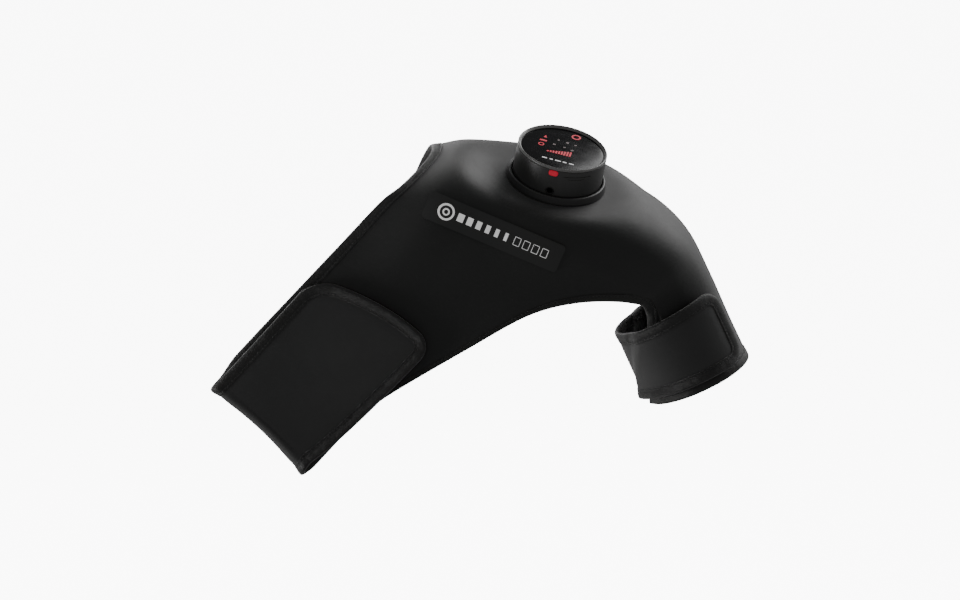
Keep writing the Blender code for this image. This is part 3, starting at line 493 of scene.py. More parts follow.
def tape_chunks(at, thickness, shrink=0.0):
    """An edge tape and its two rows of stitches. at(x) gives points and normals at x in from the edge."""
    edge, edge_normal = at(0.0)
    inward = unit(at(1.0)[0] - edge)
    run = lengths(edge, 0)
    puff = 1 + 0.07 * np.sin(run * 0.37 + 1.3) + 0.05 * np.sin(run * 0.83)
    rings = []
    for x, height in tape_profile(thickness):
        if x >= 0:
            points, normals = at(x)
        else:
            points, normals = edge + inward * x, edge_normal
        over = height if -thickness < height < 0 else 0.0
        if height >= 0:
            over = height * puff - shrink
        elif height <= -thickness:
            over = (height + thickness) * puff - thickness + shrink
        rings.append(points + normals * np.reshape(over, (-1, 1)))
    chunks = [tube_chunk(np.stack(rings, axis=1), tape_weave)]
    points, normals = at(STITCH_IN)
    for side, level in ((1, 0.42), (-1, -thickness - 0.42)):
        chunks.append(stitch_chunk(points + normals * level, normals * side, thread))
    return chunks


def lathe_chunk(profile, mat, segments=144, centre=(0.0, 0.0), place=None):
    """A solid turned about the module's axis from a closed (radius, height) outline."""
    angles = np.arange(segments) * 2 * math.pi / segments
    radius = np.array([p[0] for p in profile], float)[None, :]
    height = np.array([p[1] for p in profile], float)[None, :]
    x = centre[0] + radius * np.cos(angles)[:, None]
    y = centre[1] + radius * np.sin(angles)[:, None]
    rings = np.stack([x, y, np.broadcast_to(height, x.shape)], axis=-1)
    rings = moved(rings, MODULE if place is None else place)
    points, faces, mat, uv = tube_chunk(rings, mat, closed=True)
    around = angles[:, None] * np.maximum(radius, 1.0)
    along = lengths(np.stack([radius[0], height[0], 0 * radius[0]], axis=-1), 0)[None, :]
    uv = np.stack(np.broadcast_arrays(around, along), axis=-1).reshape(-1, 2)
    return points, faces, mat, uv


def moved(points, matrix):
    """Points turned and moved by a matrix."""
    turn = np.array(matrix.to_3x3())
    return points @ turn.T + np.array(matrix.translation)


def rounded(profile, radius=0.3, steps=3):
    """A closed outline with its corners rounded."""
    out = []
    count = len(profile)
    for i in range(count):
        p, q, r = [np.array(profile[(i + k) % count], float) for k in (-1, 0, 1)]
        back = (p - q) / np.linalg.norm(p - q)
        on = (r - q) / np.linalg.norm(r - q)
        reach = min(radius, np.linalg.norm(p - q) * 0.4, np.linalg.norm(r - q) * 0.4)
        first, last = q + back * reach, q + on * reach
        for k in range(steps + 1):
            s = k / steps
            out.append(tuple(first * (1 - s) ** 2 + 2 * q * s * (1 - s) + last * s * s))
    return out


def settle(obj):
    """Applies an object's modifiers."""
    graph = bpy.context.evaluated_depsgraph_get()
    mesh = bpy.data.meshes.new_from_object(obj.evaluated_get(graph))
    obj.modifiers.clear()
    obj.data = mesh


# Materials ----------------------------------------------------------------------------------------

class Nodes:
    """A material's node tree, with short calls to add and join nodes."""

    def __init__(self, name, colour, roughness, **sockets):
        self.mat = bpy.data.materials.new(name)
        self.mat.use_nodes = True
        self.tree = self.mat.node_tree
        self.shader = self.tree.nodes["Principled BSDF"]
        self.shader.inputs["Base Color"].default_value = (*colour, 1.0)
        self.shader.inputs["Roughness"].default_value = roughness
        for socket, value in sockets.items():
            self.shader.inputs[socket.replace("_", " ")].default_value = value

    def add(self, kind, links=None, **settings):
        """A node with its settings; links joins its inputs to outputs or sets their values."""
        node = self.tree.nodes.new("ShaderNode" + kind)
        for key, value in settings.items():
            setattr(node, key, value)
        for socket, value in (links or {}).items():
            if isinstance(value, bpy.types.NodeSocket):
                self.tree.links.new(value, node.inputs[socket])
            else:
                node.inputs[socket].default_value = value
        return node

    def join(self, output, socket):
        """Joins an output to the shader."""
        self.tree.links.new(output, self.shader.inputs[socket])

    def place(self, kind="Object", scale=(1, 1, 1), turn=(0, 0, 0)):
        """Texture places in metres, scaled and turned."""
        source = self.add("TexCoord").outputs[kind]
        mapping = self.add("Mapping", {"Vector": source, "Scale": scale, "Rotation": turn})
        return mapping.outputs["Vector"]

    def noise(self, vector, scale, detail=3.0, rough=0.55):
        """A noise texture's value."""
        return self.add("TexNoise", {"Vector": vector, "Scale": scale, "Detail": detail,
                                     "Roughness": rough}).outputs["Fac"]

    def span(self, value, low, high, start=0.0, end=1.0):
        """A value moved from start..end to low..high."""
        return self.add("MapRange", {"Value": value, "From Min": start, "From Max": end, "To Min": low,
                                     "To Max": high}).outputs["Result"]

    def maths(self, operation, a, b):
        """Arithmetic on two values."""
        return self.add("Math", {0: a, 1: b}, operation=operation).outputs[0]

    def blend(self, factor, first, second):
        """A mix of two colours."""
        colours = {"Color1": (*first, 1.0), "Color2": (*second, 1.0)}
        return self.add("MixRGB", {"Fac": factor, **colours}).outputs[0]

    def tone(self, value, dark, light, start=0.0, end=1.0, socket="Base Color"):
        """Colours the shader from dark to light as a value goes from start to end."""
        self.join(self.blend(self.span(value, 0.0, 1.0, start, end), dark, light), socket)

    def gloss(self, value, low, high, start=0.0, end=1.0):
        """Takes the shader's roughness from low to high as a value goes from start to end."""
        self.join(self.span(value, low, high, start, end), "Roughness")

    def bump(self, height, strength, distance):
        """Joins a height in to the shader's normal."""
        node = self.add("Bump", {"Height": height, "Strength": strength, "Distance": distance * MM})
        self.join(node.outputs["Normal"], "Normal")


def scaled(colour, factor):
    """A colour made lighter or darker."""
    return tuple(c * factor for c in colour)


def knit(name, colour, pitch=0.75, roughness=0.62, relief=0.06, sheen=0.3):
    """Fine jersey: wales and courses, soft wear and lint."""
    n = Nodes(name, colour, roughness, Sheen_Weight=sheen, Sheen_Roughness=0.45, Specular_IOR_Level=0.32)
    uv = n.place("UV")
    body = n.place("Object")
    rate = 1.0 / (pitch * MM)
    wale = n.add("TexWave", {"Vector": uv, "Scale": rate / 2, "Distortion": 0.6, "Detail": 1.0,
                             "Detail Scale": 2.0}, wave_type="BANDS", bands_direction="X")
    course = n.add("TexWave", {"Vector": uv, "Scale": rate / 1.5, "Distortion": 0.8, "Detail": 1.0,
                               "Detail Scale": 2.0}, wave_type="BANDS", bands_direction="Y")
    loops = n.maths("MULTIPLY", wale.outputs["Fac"], course.outputs["Fac"])
    wear = n.noise(body, 14.0, 4.0, 0.6)
    lint = n.span(n.noise(body, 900.0, 1.0), 0.0, 1.0, 0.70, 0.78)
    tone = n.span(wear, 0.0, 1.0, 0.3, 0.75)
    base = n.blend(tone, scaled(colour, 0.82), scaled(colour, 1.25))
    mix = n.add("MixRGB", {"Fac": n.maths("MULTIPLY", lint, 0.35), "Color1": base,
                           "Color2": (0.05, 0.05, 0.048, 1.0)})
    n.join(mix.outputs[0], "Base Color")
    n.gloss(wear, roughness - 0.07, roughness + 0.09, 0.25, 0.75)
    height = n.maths("ADD", loops, n.maths("MULTIPLY", n.noise(body, 2600.0, 2.0), 0.5))
    n.bump(height, 0.5, relief)
    return n.mat


def ribbed(name, colour, pitch=0.9, roughness=0.5, relief=0.16):
    """Woven tape: ribs across its length."""
    n = Nodes(name, colour, roughness, Sheen_Weight=0.2, Sheen_Roughness=0.4, Specular_IOR_Level=0.35)
    uv = n.place("UV")
    rib = n.add("TexWave", {"Vector": uv, "Scale": 1.0 / (pitch * MM) / 2, "Distortion": 0.4, "Detail": 1.0},
                wave_type="BANDS", bands_direction="X")
    warp = n.add("TexWave", {"Vector": uv, "Scale": 1.0 / (0.6 * MM) / 2, "Distortion": 0.5},
                 wave_type="BANDS", bands_direction="Y")
    weave = n.maths("ADD", rib.outputs["Fac"], n.maths("MULTIPLY", warp.outputs["Fac"], 0.5))
    wear = n.noise(n.place("Object"), 45.0, 4.0, 0.65)
    n.tone(wear, scaled(colour, 0.8), scaled(colour, 1.5), 0.3, 0.8)
    n.gloss(wear, roughness - 0.08, roughness + 0.12, 0.25, 0.75)
    n.bump(weave, 0.6, relief)
    return n.mat


def fuzzy(name, colour, scale=1500.0, relief=0.35, sheen=0.5):
    """Brushed or hooked nap."""
    n = Nodes(name, colour, 0.85, Sheen_Weight=sheen, Sheen_Roughness=0.6, Specular_IOR_Level=0.2)
    body = n.place("Object")
    nap = n.noise(body, scale, 4.0, 0.7)
    clump = n.noise(body, scale / 12, 3.0, 0.6)
    n.tone(clump, scaled(colour, 0.7), scaled(colour, 1.6), 0.35, 0.7)
    n.gloss(nap, 0.75, 0.97, 0.3, 0.7)
    n.bump(n.maths("ADD", nap, n.maths("MULTIPLY", clump, 1.4)), 0.8, relief)
    return n.mat


def moulded(name, colour, roughness, grain=1800.0, relief=0.02, variation=0.06, **sockets):
    """Moulded plastic or rubber: fine spark grain and faint handling marks."""
    n = Nodes(name, colour, roughness, **sockets)
    body = n.place("Object")
    marks = n.noise(body, 38.0, 5.0, 0.65)
    n.tone(marks, scaled(colour, 0.88), scaled(colour, 1.14), 0.3, 0.75)
    n.gloss(marks, roughness - variation, roughness + variation, 0.25, 0.75)
    n.bump(n.noise(body, grain, 2.0, 0.6), 0.5, relief)
    return n.mat


def glowing(name, colour, strength):
    """A lit icon: its glow varies a little over it."""
    n = Nodes(name, scaled(colour, 0.3), 0.4)
    n.shader.inputs["Emission Strength"].default_value = strength
    patchy = n.noise(n.place("Object"), 700.0, 2.0)
    n.tone(patchy, scaled(colour, 0.7), colour, 0.3, 0.7, "Emission Color")
    n.bump(n.noise(n.place("Object"), 1500.0), 0.1, 0.01)
    return n.mat


def brushed(name, colour, roughness, metallic=1.0):
    """Metal or foil with fine lines along it."""
    n = Nodes(name, colour, roughness, Metallic=metallic)
    lines = n.noise(n.place("Object", scale=(1, 1, 26)), 160.0, 4.0, 0.6)
    n.tone(lines, scaled(colour, 0.85), scaled(colour, 1.1), 0.3, 0.7)
    n.gloss(lines, roughness - 0.08, roughness + 0.1, 0.3, 0.7)
    n.bump(lines, 0.3, 0.03)
    return n.mat


def lens_glass():
    """Polished black cover with faint smears."""
    n = Nodes("lens_black", (0.003, 0.003, 0.0035), 0.05, Specular_IOR_Level=0.09)
    smear = n.noise(n.place("Object", scale=(1, 2.5, 1)), 55.0, 4.0, 0.7)
    n.gloss(smear, 0.10, 0.18, 0.45, 0.8)
    n.tone(smear, (0.002, 0.002, 0.0024), (0.004, 0.004, 0.005), 0.3, 0.8)
    n.bump(smear, 0.05, 0.01)
    return n.mat


def circuit():
    """Green board with paler traces."""
    n = Nodes("board_green", (0.02, 0.16, 0.07), 0.4)
    brick = n.add("TexBrick", {"Vector": n.place("Object"), "Scale": 260.0, "Mortar Size": 0.03,
                               "Color1": (0.015, 0.13, 0.05, 1), "Color2": (0.02, 0.17, 0.07, 1),
                               "Mortar": (0.05, 0.3, 0.13, 1)})
    n.join(brick.outputs["Color"], "Base Color")
    n.gloss(n.noise(n.place("Object"), 300.0), 0.3, 0.5)
    n.bump(brick.outputs["Fac"], 0.4, 0.05)
    return n.mat


def gel_film():
    """Blue gel in a clear film."""
    n = Nodes("gel_blue", (0.05, 0.22, 0.45), 0.3, Subsurface_Weight=0.25, Coat_Weight=0.3)
    cloud = n.noise(n.place("Object"), 60.0, 4.0)
    n.tone(cloud, (0.03, 0.16, 0.38), (0.10, 0.34, 0.58), 0.3, 0.7)
    n.gloss(cloud, 0.2, 0.4)
    n.bump(n.noise(n.place("Object"), 220.0), 0.4, 0.3)
    return n.mat


BLACK = (0.0092, 0.0092, 0.0088)
neoprene = knit("neoprene_jersey", BLACK)
strap_knit = knit("strap_jersey", (0.0225, 0.0225, 0.0225), 0.8, 0.6, 0.06)
lining_knit = knit("lining_jersey", (0.016, 0.016, 0.018), 1.1, 0.72, 0.1, 0.5)
tape_weave = ribbed("binding_weave", (0.0085, 0.0085, 0.0080))
thread = ribbed("thread_twist", (0.022, 0.022, 0.022), 0.5, 0.45, 0.05)
loop_nap = fuzzy("loop_nap", (0.012, 0.012, 0.012))
hook_nap = fuzzy("hook_nap", (0.02, 0.02, 0.02), 900.0, 0.5, 0.25)
label_rubber = moulded("label_rubber", (0.0090, 0.0090, 0.0087), 0.55, 1300.0, 0.03)
# White ink of the label's print, with a faint emission added: a painted glow that keeps the print bright,
# though it is no lamp
print_white_painted_glow = moulded("print_white_painted_glow", (0.86, 0.86, 0.85), 0.5, 1800.0, 0.02, Emission_Color=(1, 1, 1, 1),
                      Emission_Strength=0.22)
collar_rubber = moulded("collar_rubber", (0.012, 0.012, 0.012), 0.5, 1500.0, 0.03)
shell_plastic = moulded("housing_plastic", (0.026, 0.026, 0.0255), 0.42, 2600.0, 0.03)
dark_plastic = moulded("dark_plastic", (0.02, 0.02, 0.021), 0.5)
bezel_satin = moulded("bezel_satin", (0.13, 0.13, 0.127), 0.34, 2200.0, 0.008)
lens_black = lens_glass()
red_glow = glowing("icon_red", (1.0, 0.02, 0.06), 0.5)
dim_glow = glowing("icon_dim", (0.35, 0.24, 0.24), 0.08)
white_glow = glowing("icon_white", (0.9, 0.9, 0.9), 0.9)
button_glow = glowing("button_red", (1.0, 0.02, 0.06), 0.34)
hole_black = moulded("socket_black", (0.003, 0.003, 0.003), 0.6)
steel = brushed("turned_steel", (0.56, 0.56, 0.57), 0.3)
foil = brushed("cell_foil", (0.5, 0.51, 0.53), 0.35)
bladder_film = moulded("bladder_film", (0.06, 0.06, 0.065), 0.4, 500.0, 0.1)
board_green = circuit()
gel_blue = gel_film()


def finish_piece(obj, body, slot, *nodes):
    """Rides a piece on a body and hides the CAD nodes that it stands for; slot is not used."""
    if body:
        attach(obj, body)
    if nodes:
        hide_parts(*nodes)
    return obj


def piece(name, chunks, body, slot, *nodes, sharp=50):
    """Builds a piece and finishes it."""
    return finish_piece(build_mesh(name, chunks, sharp), body, slot, *nodes)


# The cap ------------------------------------------------------------------------------------------

def shell():
    """The neoprene skin with the dock's hole."""
    t, v = grid(np.linspace(0, T_END, 161), np.linspace(0, V_END, 193))
    outer = skin(t, v)
    normal = skin_normal(t, v)
    calm = 1 - seat_weight(outer)
    ripple = np.sin(t * 2.1 + v * 1.3) * np.sin(v * 1.9 - t * 0.7) * 0.35 * calm
    edge = np.minimum(np.minimum(t, T_END - t), np.minimum(v, V_END - v))
    outer = outer + normal * (ripple * smooth(edge / 0.6))[..., None]
    inner = skin(t, v) - normal * NEOPRENE
    middle = (outer[1:, 1:] + outer[:-1, :-1]) / 2
    height, radial = about_axis(middle)
    keep = ~((radial < HOLE_RADIUS + 1) & (np.abs(height - SEAT) < 20))
    piece("shell_skin", [sheet_chunk(outer, inner, neoprene, keep)], "wrap", "neoprene", "outer_shell")


# The pocket's ends as ribs, its reach to each side of the crest, and its sewn lines each way
POCKET_T = (1.0, 7.5)
POCKET_V = 3.0
SEWN_T = (2.0, 3.5, 5.0, 6.5)
SEWN_V = (4.0, 5.0, 6.0, 7.0, 8.0)


def pocket_depth(t, v):
    """Depth of the pocket's lining under the skin: on the skin at its seam, over the pack inside it."""
    along = smooth(np.minimum(t - POCKET_T[0], POCKET_T[1] - t) * 2)
    across = smooth((POCKET_V - np.abs(v - V_CREST)) * 2)
    top = NEOPRENE + 0.3
    return top + (LINING_TOP - top) * along * across


# How the lining's cloth behaves, and how many steps it takes to fill
CLOTH = {"quality": 6, "mass": 0.15, "tension_stiffness": 12, "compression_stiffness": 12,
         "shear_stiffness": 6, "bending_stiffness": 0.4, "vertex_group_mass": "sewn", "use_pressure": True}
CLOTH_STEPS = 20


def swell(points, pinned, pressure, limit):
    """A grid of cloth blown out between its sewn lines, by no more than the limit."""
    rows, cols = points.shape[:2]
    mesh = bpy.data.meshes.new("cloth")
    faces = []
    for i in range(rows - 1):
        for j in range(cols - 1):
            a = i * cols + j
            faces.append((a, a + cols, a + cols + 1, a + 1))
    mesh.from_pydata((points.reshape(-1, 3) * MM).tolist(), [], faces)
    obj = bpy.data.objects.new("cloth", mesh)
    bpy.context.scene.collection.objects.link(obj)
    group = obj.vertex_groups.new(name="sewn")
    group.add([int(k) for k in np.flatnonzero(pinned.ravel())], 1.0, "REPLACE")
    cloth = obj.modifiers.new("cloth", "CLOTH")
    for key, value in CLOTH.items():
        setattr(cloth.settings, key, value)
    cloth.settings.uniform_pressure_force = pressure
    cloth.settings.effector_weights.gravity = 0
    cloth.point_cache.frame_start = 1
    cloth.point_cache.frame_end = CLOTH_STEPS
    for step in range(1, CLOTH_STEPS + 1):
        bpy.context.scene.frame_set(step)
    graph = bpy.context.evaluated_depsgraph_get()
    result = obj.evaluated_get(graph).to_mesh()
    blown = np.zeros(rows * cols * 3)
    result.vertices.foreach_get("co", blown)
    shift = blown.reshape(rows, cols, 3) / MM - points
    bpy.data.objects.remove(obj, do_unlink=True)
    bpy.context.scene.frame_set(1)
    size = np.linalg.norm(shift, axis=-1, keepdims=True)
    return points + shift * np.minimum(1.0, limit / np.maximum(size, 1e-6))


def sewn_gaps(t, v):
    """Distances of a place from the nearest sewn line each way."""
    return (np.min([np.abs(t - k) for k in SEWN_T], axis=0),
            np.min([np.abs(v - k) for k in SEWN_V], axis=0))


def pocket_lining():
    """The quilted lining of the pocket, blown out between its sewn lines."""
    t, v = grid(np.linspace(*POCKET_T, 66), np.linspace(V_CREST - POCKET_V, V_CREST + POCKET_V, 73))
    normal = skin_normal(t, v)
    face = skin(t, v) - normal * (pocket_depth(t, v) + 1.3)[..., None]
    near_t, near_v = sewn_gaps(t, v)
    border = (t < POCKET_T[0] + 0.3) | (t > POCKET_T[1] - 0.3) | (np.abs(v - V_CREST) > POCKET_V - 0.25)
    face = swell(face, (near_t < 0.04) | (near_v < 0.04) | border, 3.0, 3.2)
    chunks = [sheet_chunk(face + normal * 1.1, face, lining_knit)]
    rows = [(int(np.argmin(np.abs(t[:, 0] - k))), slice(8, -8)) for k in SEWN_T]
    rows += [(slice(8, -8), int(np.argmin(np.abs(v[0] - k)))) for k in SEWN_V]
    for row in rows:
        chunks.append(stitch_chunk(face[row] - normal[row] * 0.15, -normal[row], thread, 3.6, 2.6))

    def rim(values):
        return np.concatenate([values[1, 1:-1], values[1:-1, -2], values[-2, 1:-1][::-1],
                               values[1:-1, 1][::-1]])

    chunks.append(stitch_chunk(rim(face) - rim(normal) * 0.2, -rim(normal), thread))
    lining = piece("pocket_lining_quilted", chunks, "wrap", "lining", "pocket_lining")


def pads():
    """The gel cell and the air bladder in the pocket, welded along its sewn lines."""
    t, v = grid(np.linspace(SEWN_T[0], SEWN_T[-1], 91), np.linspace(SEWN_V[0], SEWN_V[-1], 97))
    normal = skin_normal(t, v)
    flat = skin(t, v)
    near_t, near_v = sewn_gaps(t, v)

    def layer(top, low, mat):
        return [sheet_chunk(flat - normal * top[..., None], flat - normal * low[..., None], mat)]

    cell = smooth(near_t / 0.2) * smooth(near_v / 0.2)
    middle = GEL_TOP + GEL / 2
    half = 0.5 + (GEL / 2 - 0.9) * cell
    gel = piece("gel_cells", layer(middle - half, middle + half, gel_blue), "wrap", "gel", "gel_cell")
    flange = 2.3 * smooth(2.0 * seat_weight(flat))
    weld = smooth(near_v / 0.12)
    low = PACK_TOP + 2.2 - 0.5 * (1 - weld)
    top = np.minimum(NEOPRENE + 0.6 + flange + 0.3 * (1 - weld), low - 0.6)
    bladder = piece("bladder_channels", layer(top, low, bladder_film), "wrap", "bladder", "air_bladder")


def skin_edge(t, v, dt, dv):
    """at(x) for a tape on the skin: t and v are the edge's places, (dt, dv) points inwards."""
    t, v = np.broadcast_arrays(np.asarray(t, float), np.asarray(v, float))
    step = 0.05
    rate = step / np.linalg.norm(skin(t + dt * step, v + dv * step) - skin(t, v), axis=-1)

    def at(x):
        a, b = t + dt * rate * x, v + dv * rate * x
        return skin(a, b), skin_normal(a, b)
    return at


def skin_tapes():
    """The tapes on the skin's five free edges, as places on the skin and the way in from them."""
    corner = CORNER_RIB
    edges = {
        "neck_binding": (0.0, np.linspace(0, V_END - 0.25, 240), 1, 0),
        "front_armhole_binding": (np.linspace(corner, T_END - 0.22, 200), 0.0, 0, 1),
        "hem_binding": (T_END, np.linspace(0, V_END, 220), -1, 0),
        "back_armhole_binding": (np.linspace(corner + 0.22, T_END - 0.22, 200), V_END, 0, -1),
        "back_panel_binding": (np.linspace(0, corner, 70), V_END, 0, -1),
    }
    for name, edge in edges.items():
        chunks = tape_chunks(skin_edge(*edge), NEOPRENE)
        piece(name + "_sewn", chunks, "wrap", "binding", name)


# Chest strap --------------------------------------------------------------------------------------

def fold_lift(across):
    """Height of the flap over the band at the fold: tight at the top, open at the bottom."""
    share = np.clip(np.asarray(across, float) / BAND_WIDTH, 0, 1)
    return 5.2 + 3.6 * share ** 2


def fold_bow(across):
    """How far the fold's line draws in between its ends."""
    return FOLD_BOW * np.sin(np.pi * np.clip(np.asarray(across, float) / BAND_WIDTH, 0, 1))


def flap_lift(along, across):
    """Height of the flap's inner face over the band's plane; it closes onto the chest panel."""
    left = np.maximum(1 - np.asarray(along, float) / FLAP_CLOSE, 0.0)
    return panel_height(along, across) + FLAP_LIFT_END + (fold_lift(across) - FLAP_LIFT_END) * left ** 2


def flap_length(across):
    """Distances from the fold to the flap's slanting, bowed end."""
    return FLAP_LENGTH + (FLAP_SLANT - FLAP_BOW * across) * across


def flap_low_side(along):
    """Where the flap's lower side lies, across the band."""
    return FLAP_FOOT + FLAP_SPREAD * (1 - np.exp(-np.asarray(along, float) / FLAP_SPREAD_RUN))


def flap_corner(share, radius, length):
    """How far a rounded corner cuts in from its side, at shares of the flap's length."""
    return corner_cut(radius - (1 - share) * length, radius)


def flap_sides(share):
    """The flap's upper and lower side across the band, at shares of its length past the fold."""
    share = np.asarray(share, float)
    length = float(flap_length(BAND_WIDTH)) - FLAP_START
    low_side = flap_low_side(FLAP_START + share * length) - flap_corner(share, FLAP_CORNER_LOW, length)
    return flap_corner(share, FLAP_CORNER_HIGH, FLAP_LENGTH), low_side


def flap_along(share, across):
    """Distances along the flap, at shares of its length past the fold."""
    return FLAP_START + share * (flap_length(across) - FLAP_START)


def flap_surface(along, across, height=0.0):
    """Points on the flap, height over its inner face."""
    return band_point(along, across, flap_lift(along, across) + height)


def even(path, pitch):
    """A path's points moved to an even pitch."""
    run = lengths(path, 0)
    at = np.linspace(0, run[-1], int(run[-1] / pitch) + 1)
    return np.stack([np.interp(at, run, path[:, k]) for k in range(path.shape[1])], axis=-1)


def flap_rim():
    """The flap's outline from the fold round its end and back, and the directions in from it."""
    share = np.sin(np.linspace(0, math.pi / 2, 120))
    first, last = flap_sides(share)
    upper = np.stack([flap_along(share, first), first], axis=-1)
    lower = np.stack([flap_along(share, last), last], axis=-1)[::-1]
    w = np.linspace(first[-1], last[-1], 60)[1:-1]
    path = even(np.concatenate([upper, np.stack([flap_along(1.0, w), w], axis=-1), lower]), 1.6)
    run = unit(np.gradient(path, axis=0))
    return path, np.stack([-run[:, 1], run[:, 0]], axis=-1)


def chest_flap():
    """The strap's folded end, with its tape and hook patch."""
    turn = FLAP_CORNER_HIGH / FLAP_LENGTH
    bend = 1 - turn * (1 - np.sin(np.linspace(0, math.pi / 2, 16)[1:]))
    share = np.concatenate([np.linspace(0, 1 - turn, 34), bend])[:, None]
    first, last = flap_sides(share)
    across = first + np.linspace(0, 1, 45) * (last - first)
    rows = flap_along(share, across)
    lift = flap_lift(rows, across)
    rim = np.minimum(np.minimum(across, flap_low_side(rows) - across), flap_length(across) - rows)
    crown = 0.55 * smooth((rim - 6.5) / 10) - 0.2
    outer = band_point(rows, across, lift + FLAP_THICK + crown)
    inner = band_point(rows, across, lift)
    padded = sheet_chunk(outer, inner, strap_knit)
    piece("chest_flap_padded", [padded], "chest_flap", "neoprene", "chest_flap")

    path, inward = flap_rim()

    def at(x):
        a, w = path[:, 0] + inward[:, 0] * x, path[:, 1] + inward[:, 1] * x
        return flap_surface(a, w, FLAP_THICK), np.broadcast_to(BAND_OUT, (len(a), 3))

    tape = tape_chunks(at, FLAP_THICK)
    piece("chest_flap_tape", tape, "chest_flap", "binding", "chest_flap_binding")

    a, w = grid(np.linspace(FLAP_LENGTH - 54, FLAP_LENGTH - 8, 17), np.linspace(16, BAND_WIDTH - 16, 25))
    hook = sheet_chunk(flap_surface(a, w, -0.1), flap_surface(a, w, -1.5), hook_nap)
    piece("chest_hook_pad", [hook], "chest_flap", "hook", "chest_hook_patch")


def band_sides(along):
    """The band's upper and lower side, across it."""
    return BAND_LOW * smooth(np.asarray(along, float) / BAND_SPREAD), BAND_HIGH


def strap_edge(side, start, end, count):
    """at(x) along one side of the band's flat run."""
    along = np.linspace(start, end, count)

    def at(x):
        across = band_sides(along)[side] + (x if side == 0 else -x)
        return band_point(along, across, 0.0), np.broadcast_to(BAND_OUT, (count, 3))
    return at


def chest_strap():
    """The band from its seam with the chest panel to the fold."""
    a, share = grid(np.linspace(FOLD_REACH - 1, SEAM + 0.5, 24), np.linspace(0, 1, 45))
    high, low = band_sides(a)
    w = high + share * (low - high)
    chunks = [sheet_chunk(band_point(a, w, 0.0), band_point(a, w, -NEOPRENE), strap_knit)]
    seam = band_point(SEAM - 3, np.linspace(2, BAND_WIDTH - 2, 60), -NEOPRENE - 0.1)
    inner_up = np.broadcast_to(-BAND_OUT, seam.shape)
    chunks.append(stitch_chunk(seam, inner_up, thread))
    chunks.append(stitch_chunk(seam + BAND_ALONG * 6, inner_up, thread))
    for side in (0, 1):
        chunks += tape_chunks(strap_edge(side, FOLD_REACH - 1, SEAM, 40), NEOPRENE)
    piece("chest_strap_band", chunks, "wrap", "neoprene", "chest_strap")


def fold_path(across):
    """Inner line of the fold at one place across: points in (along, out), normals out of the fold."""
    bow = float(fold_bow(across))
    radius = float(fold_lift(across)) / 2
    points = [(a, 0.0) for a in np.linspace(FOLD_REACH, bow, 5)[:-1]]
    normals = [(0.0, -1.0)] * 4
    for angle in np.linspace(0, math.pi, 17):
        points.append((bow - radius * math.sin(angle), radius - radius * math.cos(angle)))
        normals.append((-math.sin(angle), -math.cos(angle)))
    for a in np.linspace(bow, FOLD_REACH, 5)[1:]:
        points.append((a, float(flap_lift(a, across))))
        normals.append((0.0, 1.0))
    return np.array(points), np.array(normals)


def fold_sides(count):
    """The fold's two sides across the band, at points from the band to the flap."""
    share = smooth(np.linspace(0, 1, count))
    high, low = band_sides(FOLD_REACH)
    return high * (1 - share), low + share * (float(flap_low_side(FOLD_REACH)) - low)


def fold():
    """The bend between the band and the flap."""
    inner = []
    outer = []
    for share in np.linspace(0, 1, 45):
        points, normals = fold_path(share * float(flap_low_side(FOLD_REACH)))
        high, low = fold_sides(len(points))
        w = high + share * (low - high)
        thick = np.linspace(NEOPRENE, FLAP_THICK, len(points))[:, None]
        edge = min(share, 1 - share) * BAND_WIDTH
        puff = 0.7 * float(smooth((edge - 5) / 14))
        swollen = thick + puff * np.sin(np.linspace(0, math.pi, len(points)))[:, None] ** 2 - 0.08
        inner.append(band_point(points[:, 0], w, points[:, 1]))
        out = points + normals * swollen
        outer.append(band_point(out[:, 0], w, out[:, 1]))
    chunks = [sheet_chunk(np.array(outer), np.array(inner), strap_knit)]
    for side, inward in ((0, 1.0), (1, -1.0)):
        def at(x, side=side, inward=inward):
            foot = (0.0, float(flap_low_side(FOLD_REACH)))[side]
            points, normals = fold_path(foot + inward * max(x, 0.0))
            out = points + normals * np.linspace(NEOPRENE, FLAP_THICK, len(points))[:, None]
            turned = normals[:, :1] * BAND_ALONG + normals[:, 1:] * BAND_OUT
            return band_point(out[:, 0], fold_sides(len(points))[side] + inward * x, out[:, 1]), turned
        chunks += tape_chunks(at, (NEOPRENE + FLAP_THICK) / 2, shrink=0.05)
    obj = build_mesh("chest_fold", chunks)
    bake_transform(obj)
    finish_piece(obj, None, "neoprene")


# Arm strap ----------------------------------------------------------------------------------------

def strap_dip(angle, height):
    """How far the arm strap sinks between the sleeve's two edges, where nothing lies under it."""
    bottom, top = SLEEVE_OPEN_FRONT[-1], SLEEVE_OPEN_FRONT[0]
    edge = bottom + (top - bottom) * np.asarray(height, float) / (2 * SLEEVE_STEP)
    inside = edge + math.pi / 2 - np.abs(np.asarray(angle, float) + math.pi / 2)
    return STRAP_DIP * smooth((inside - DIP_MARGIN) / DIP_RAMP)


def strap_radius(angle, height):
    """Inner radius of the arm strap, which rises over the sleeve's patches at the front."""
    share = smooth((np.asarray(angle, float) - STRAP_BACK) / (math.radians(-50) - STRAP_BACK))
    return SLEEVE_RADIUS + 2.4 + 1.8 * share - strap_dip(angle, height)


def strap_edges(angle):
    """Lower and upper edge of the arm strap, as heights above the hem."""
    share = smooth((np.asarray(angle, float) - STRAP_HINGE) / (STRAP_TIP - STRAP_HINGE))
    return STRAP_LOW, STRAP_HIGH + STRAP_RISE * share


def strap_inset(angle):
    """How far the tab's rounded corners cut in from its edges."""
    past = (np.asarray(angle, float) - STRAP_TIP) * strap_radius(angle, STRAP_LOW) + STRAP_CORNER
    return corner_cut(past, STRAP_CORNER)


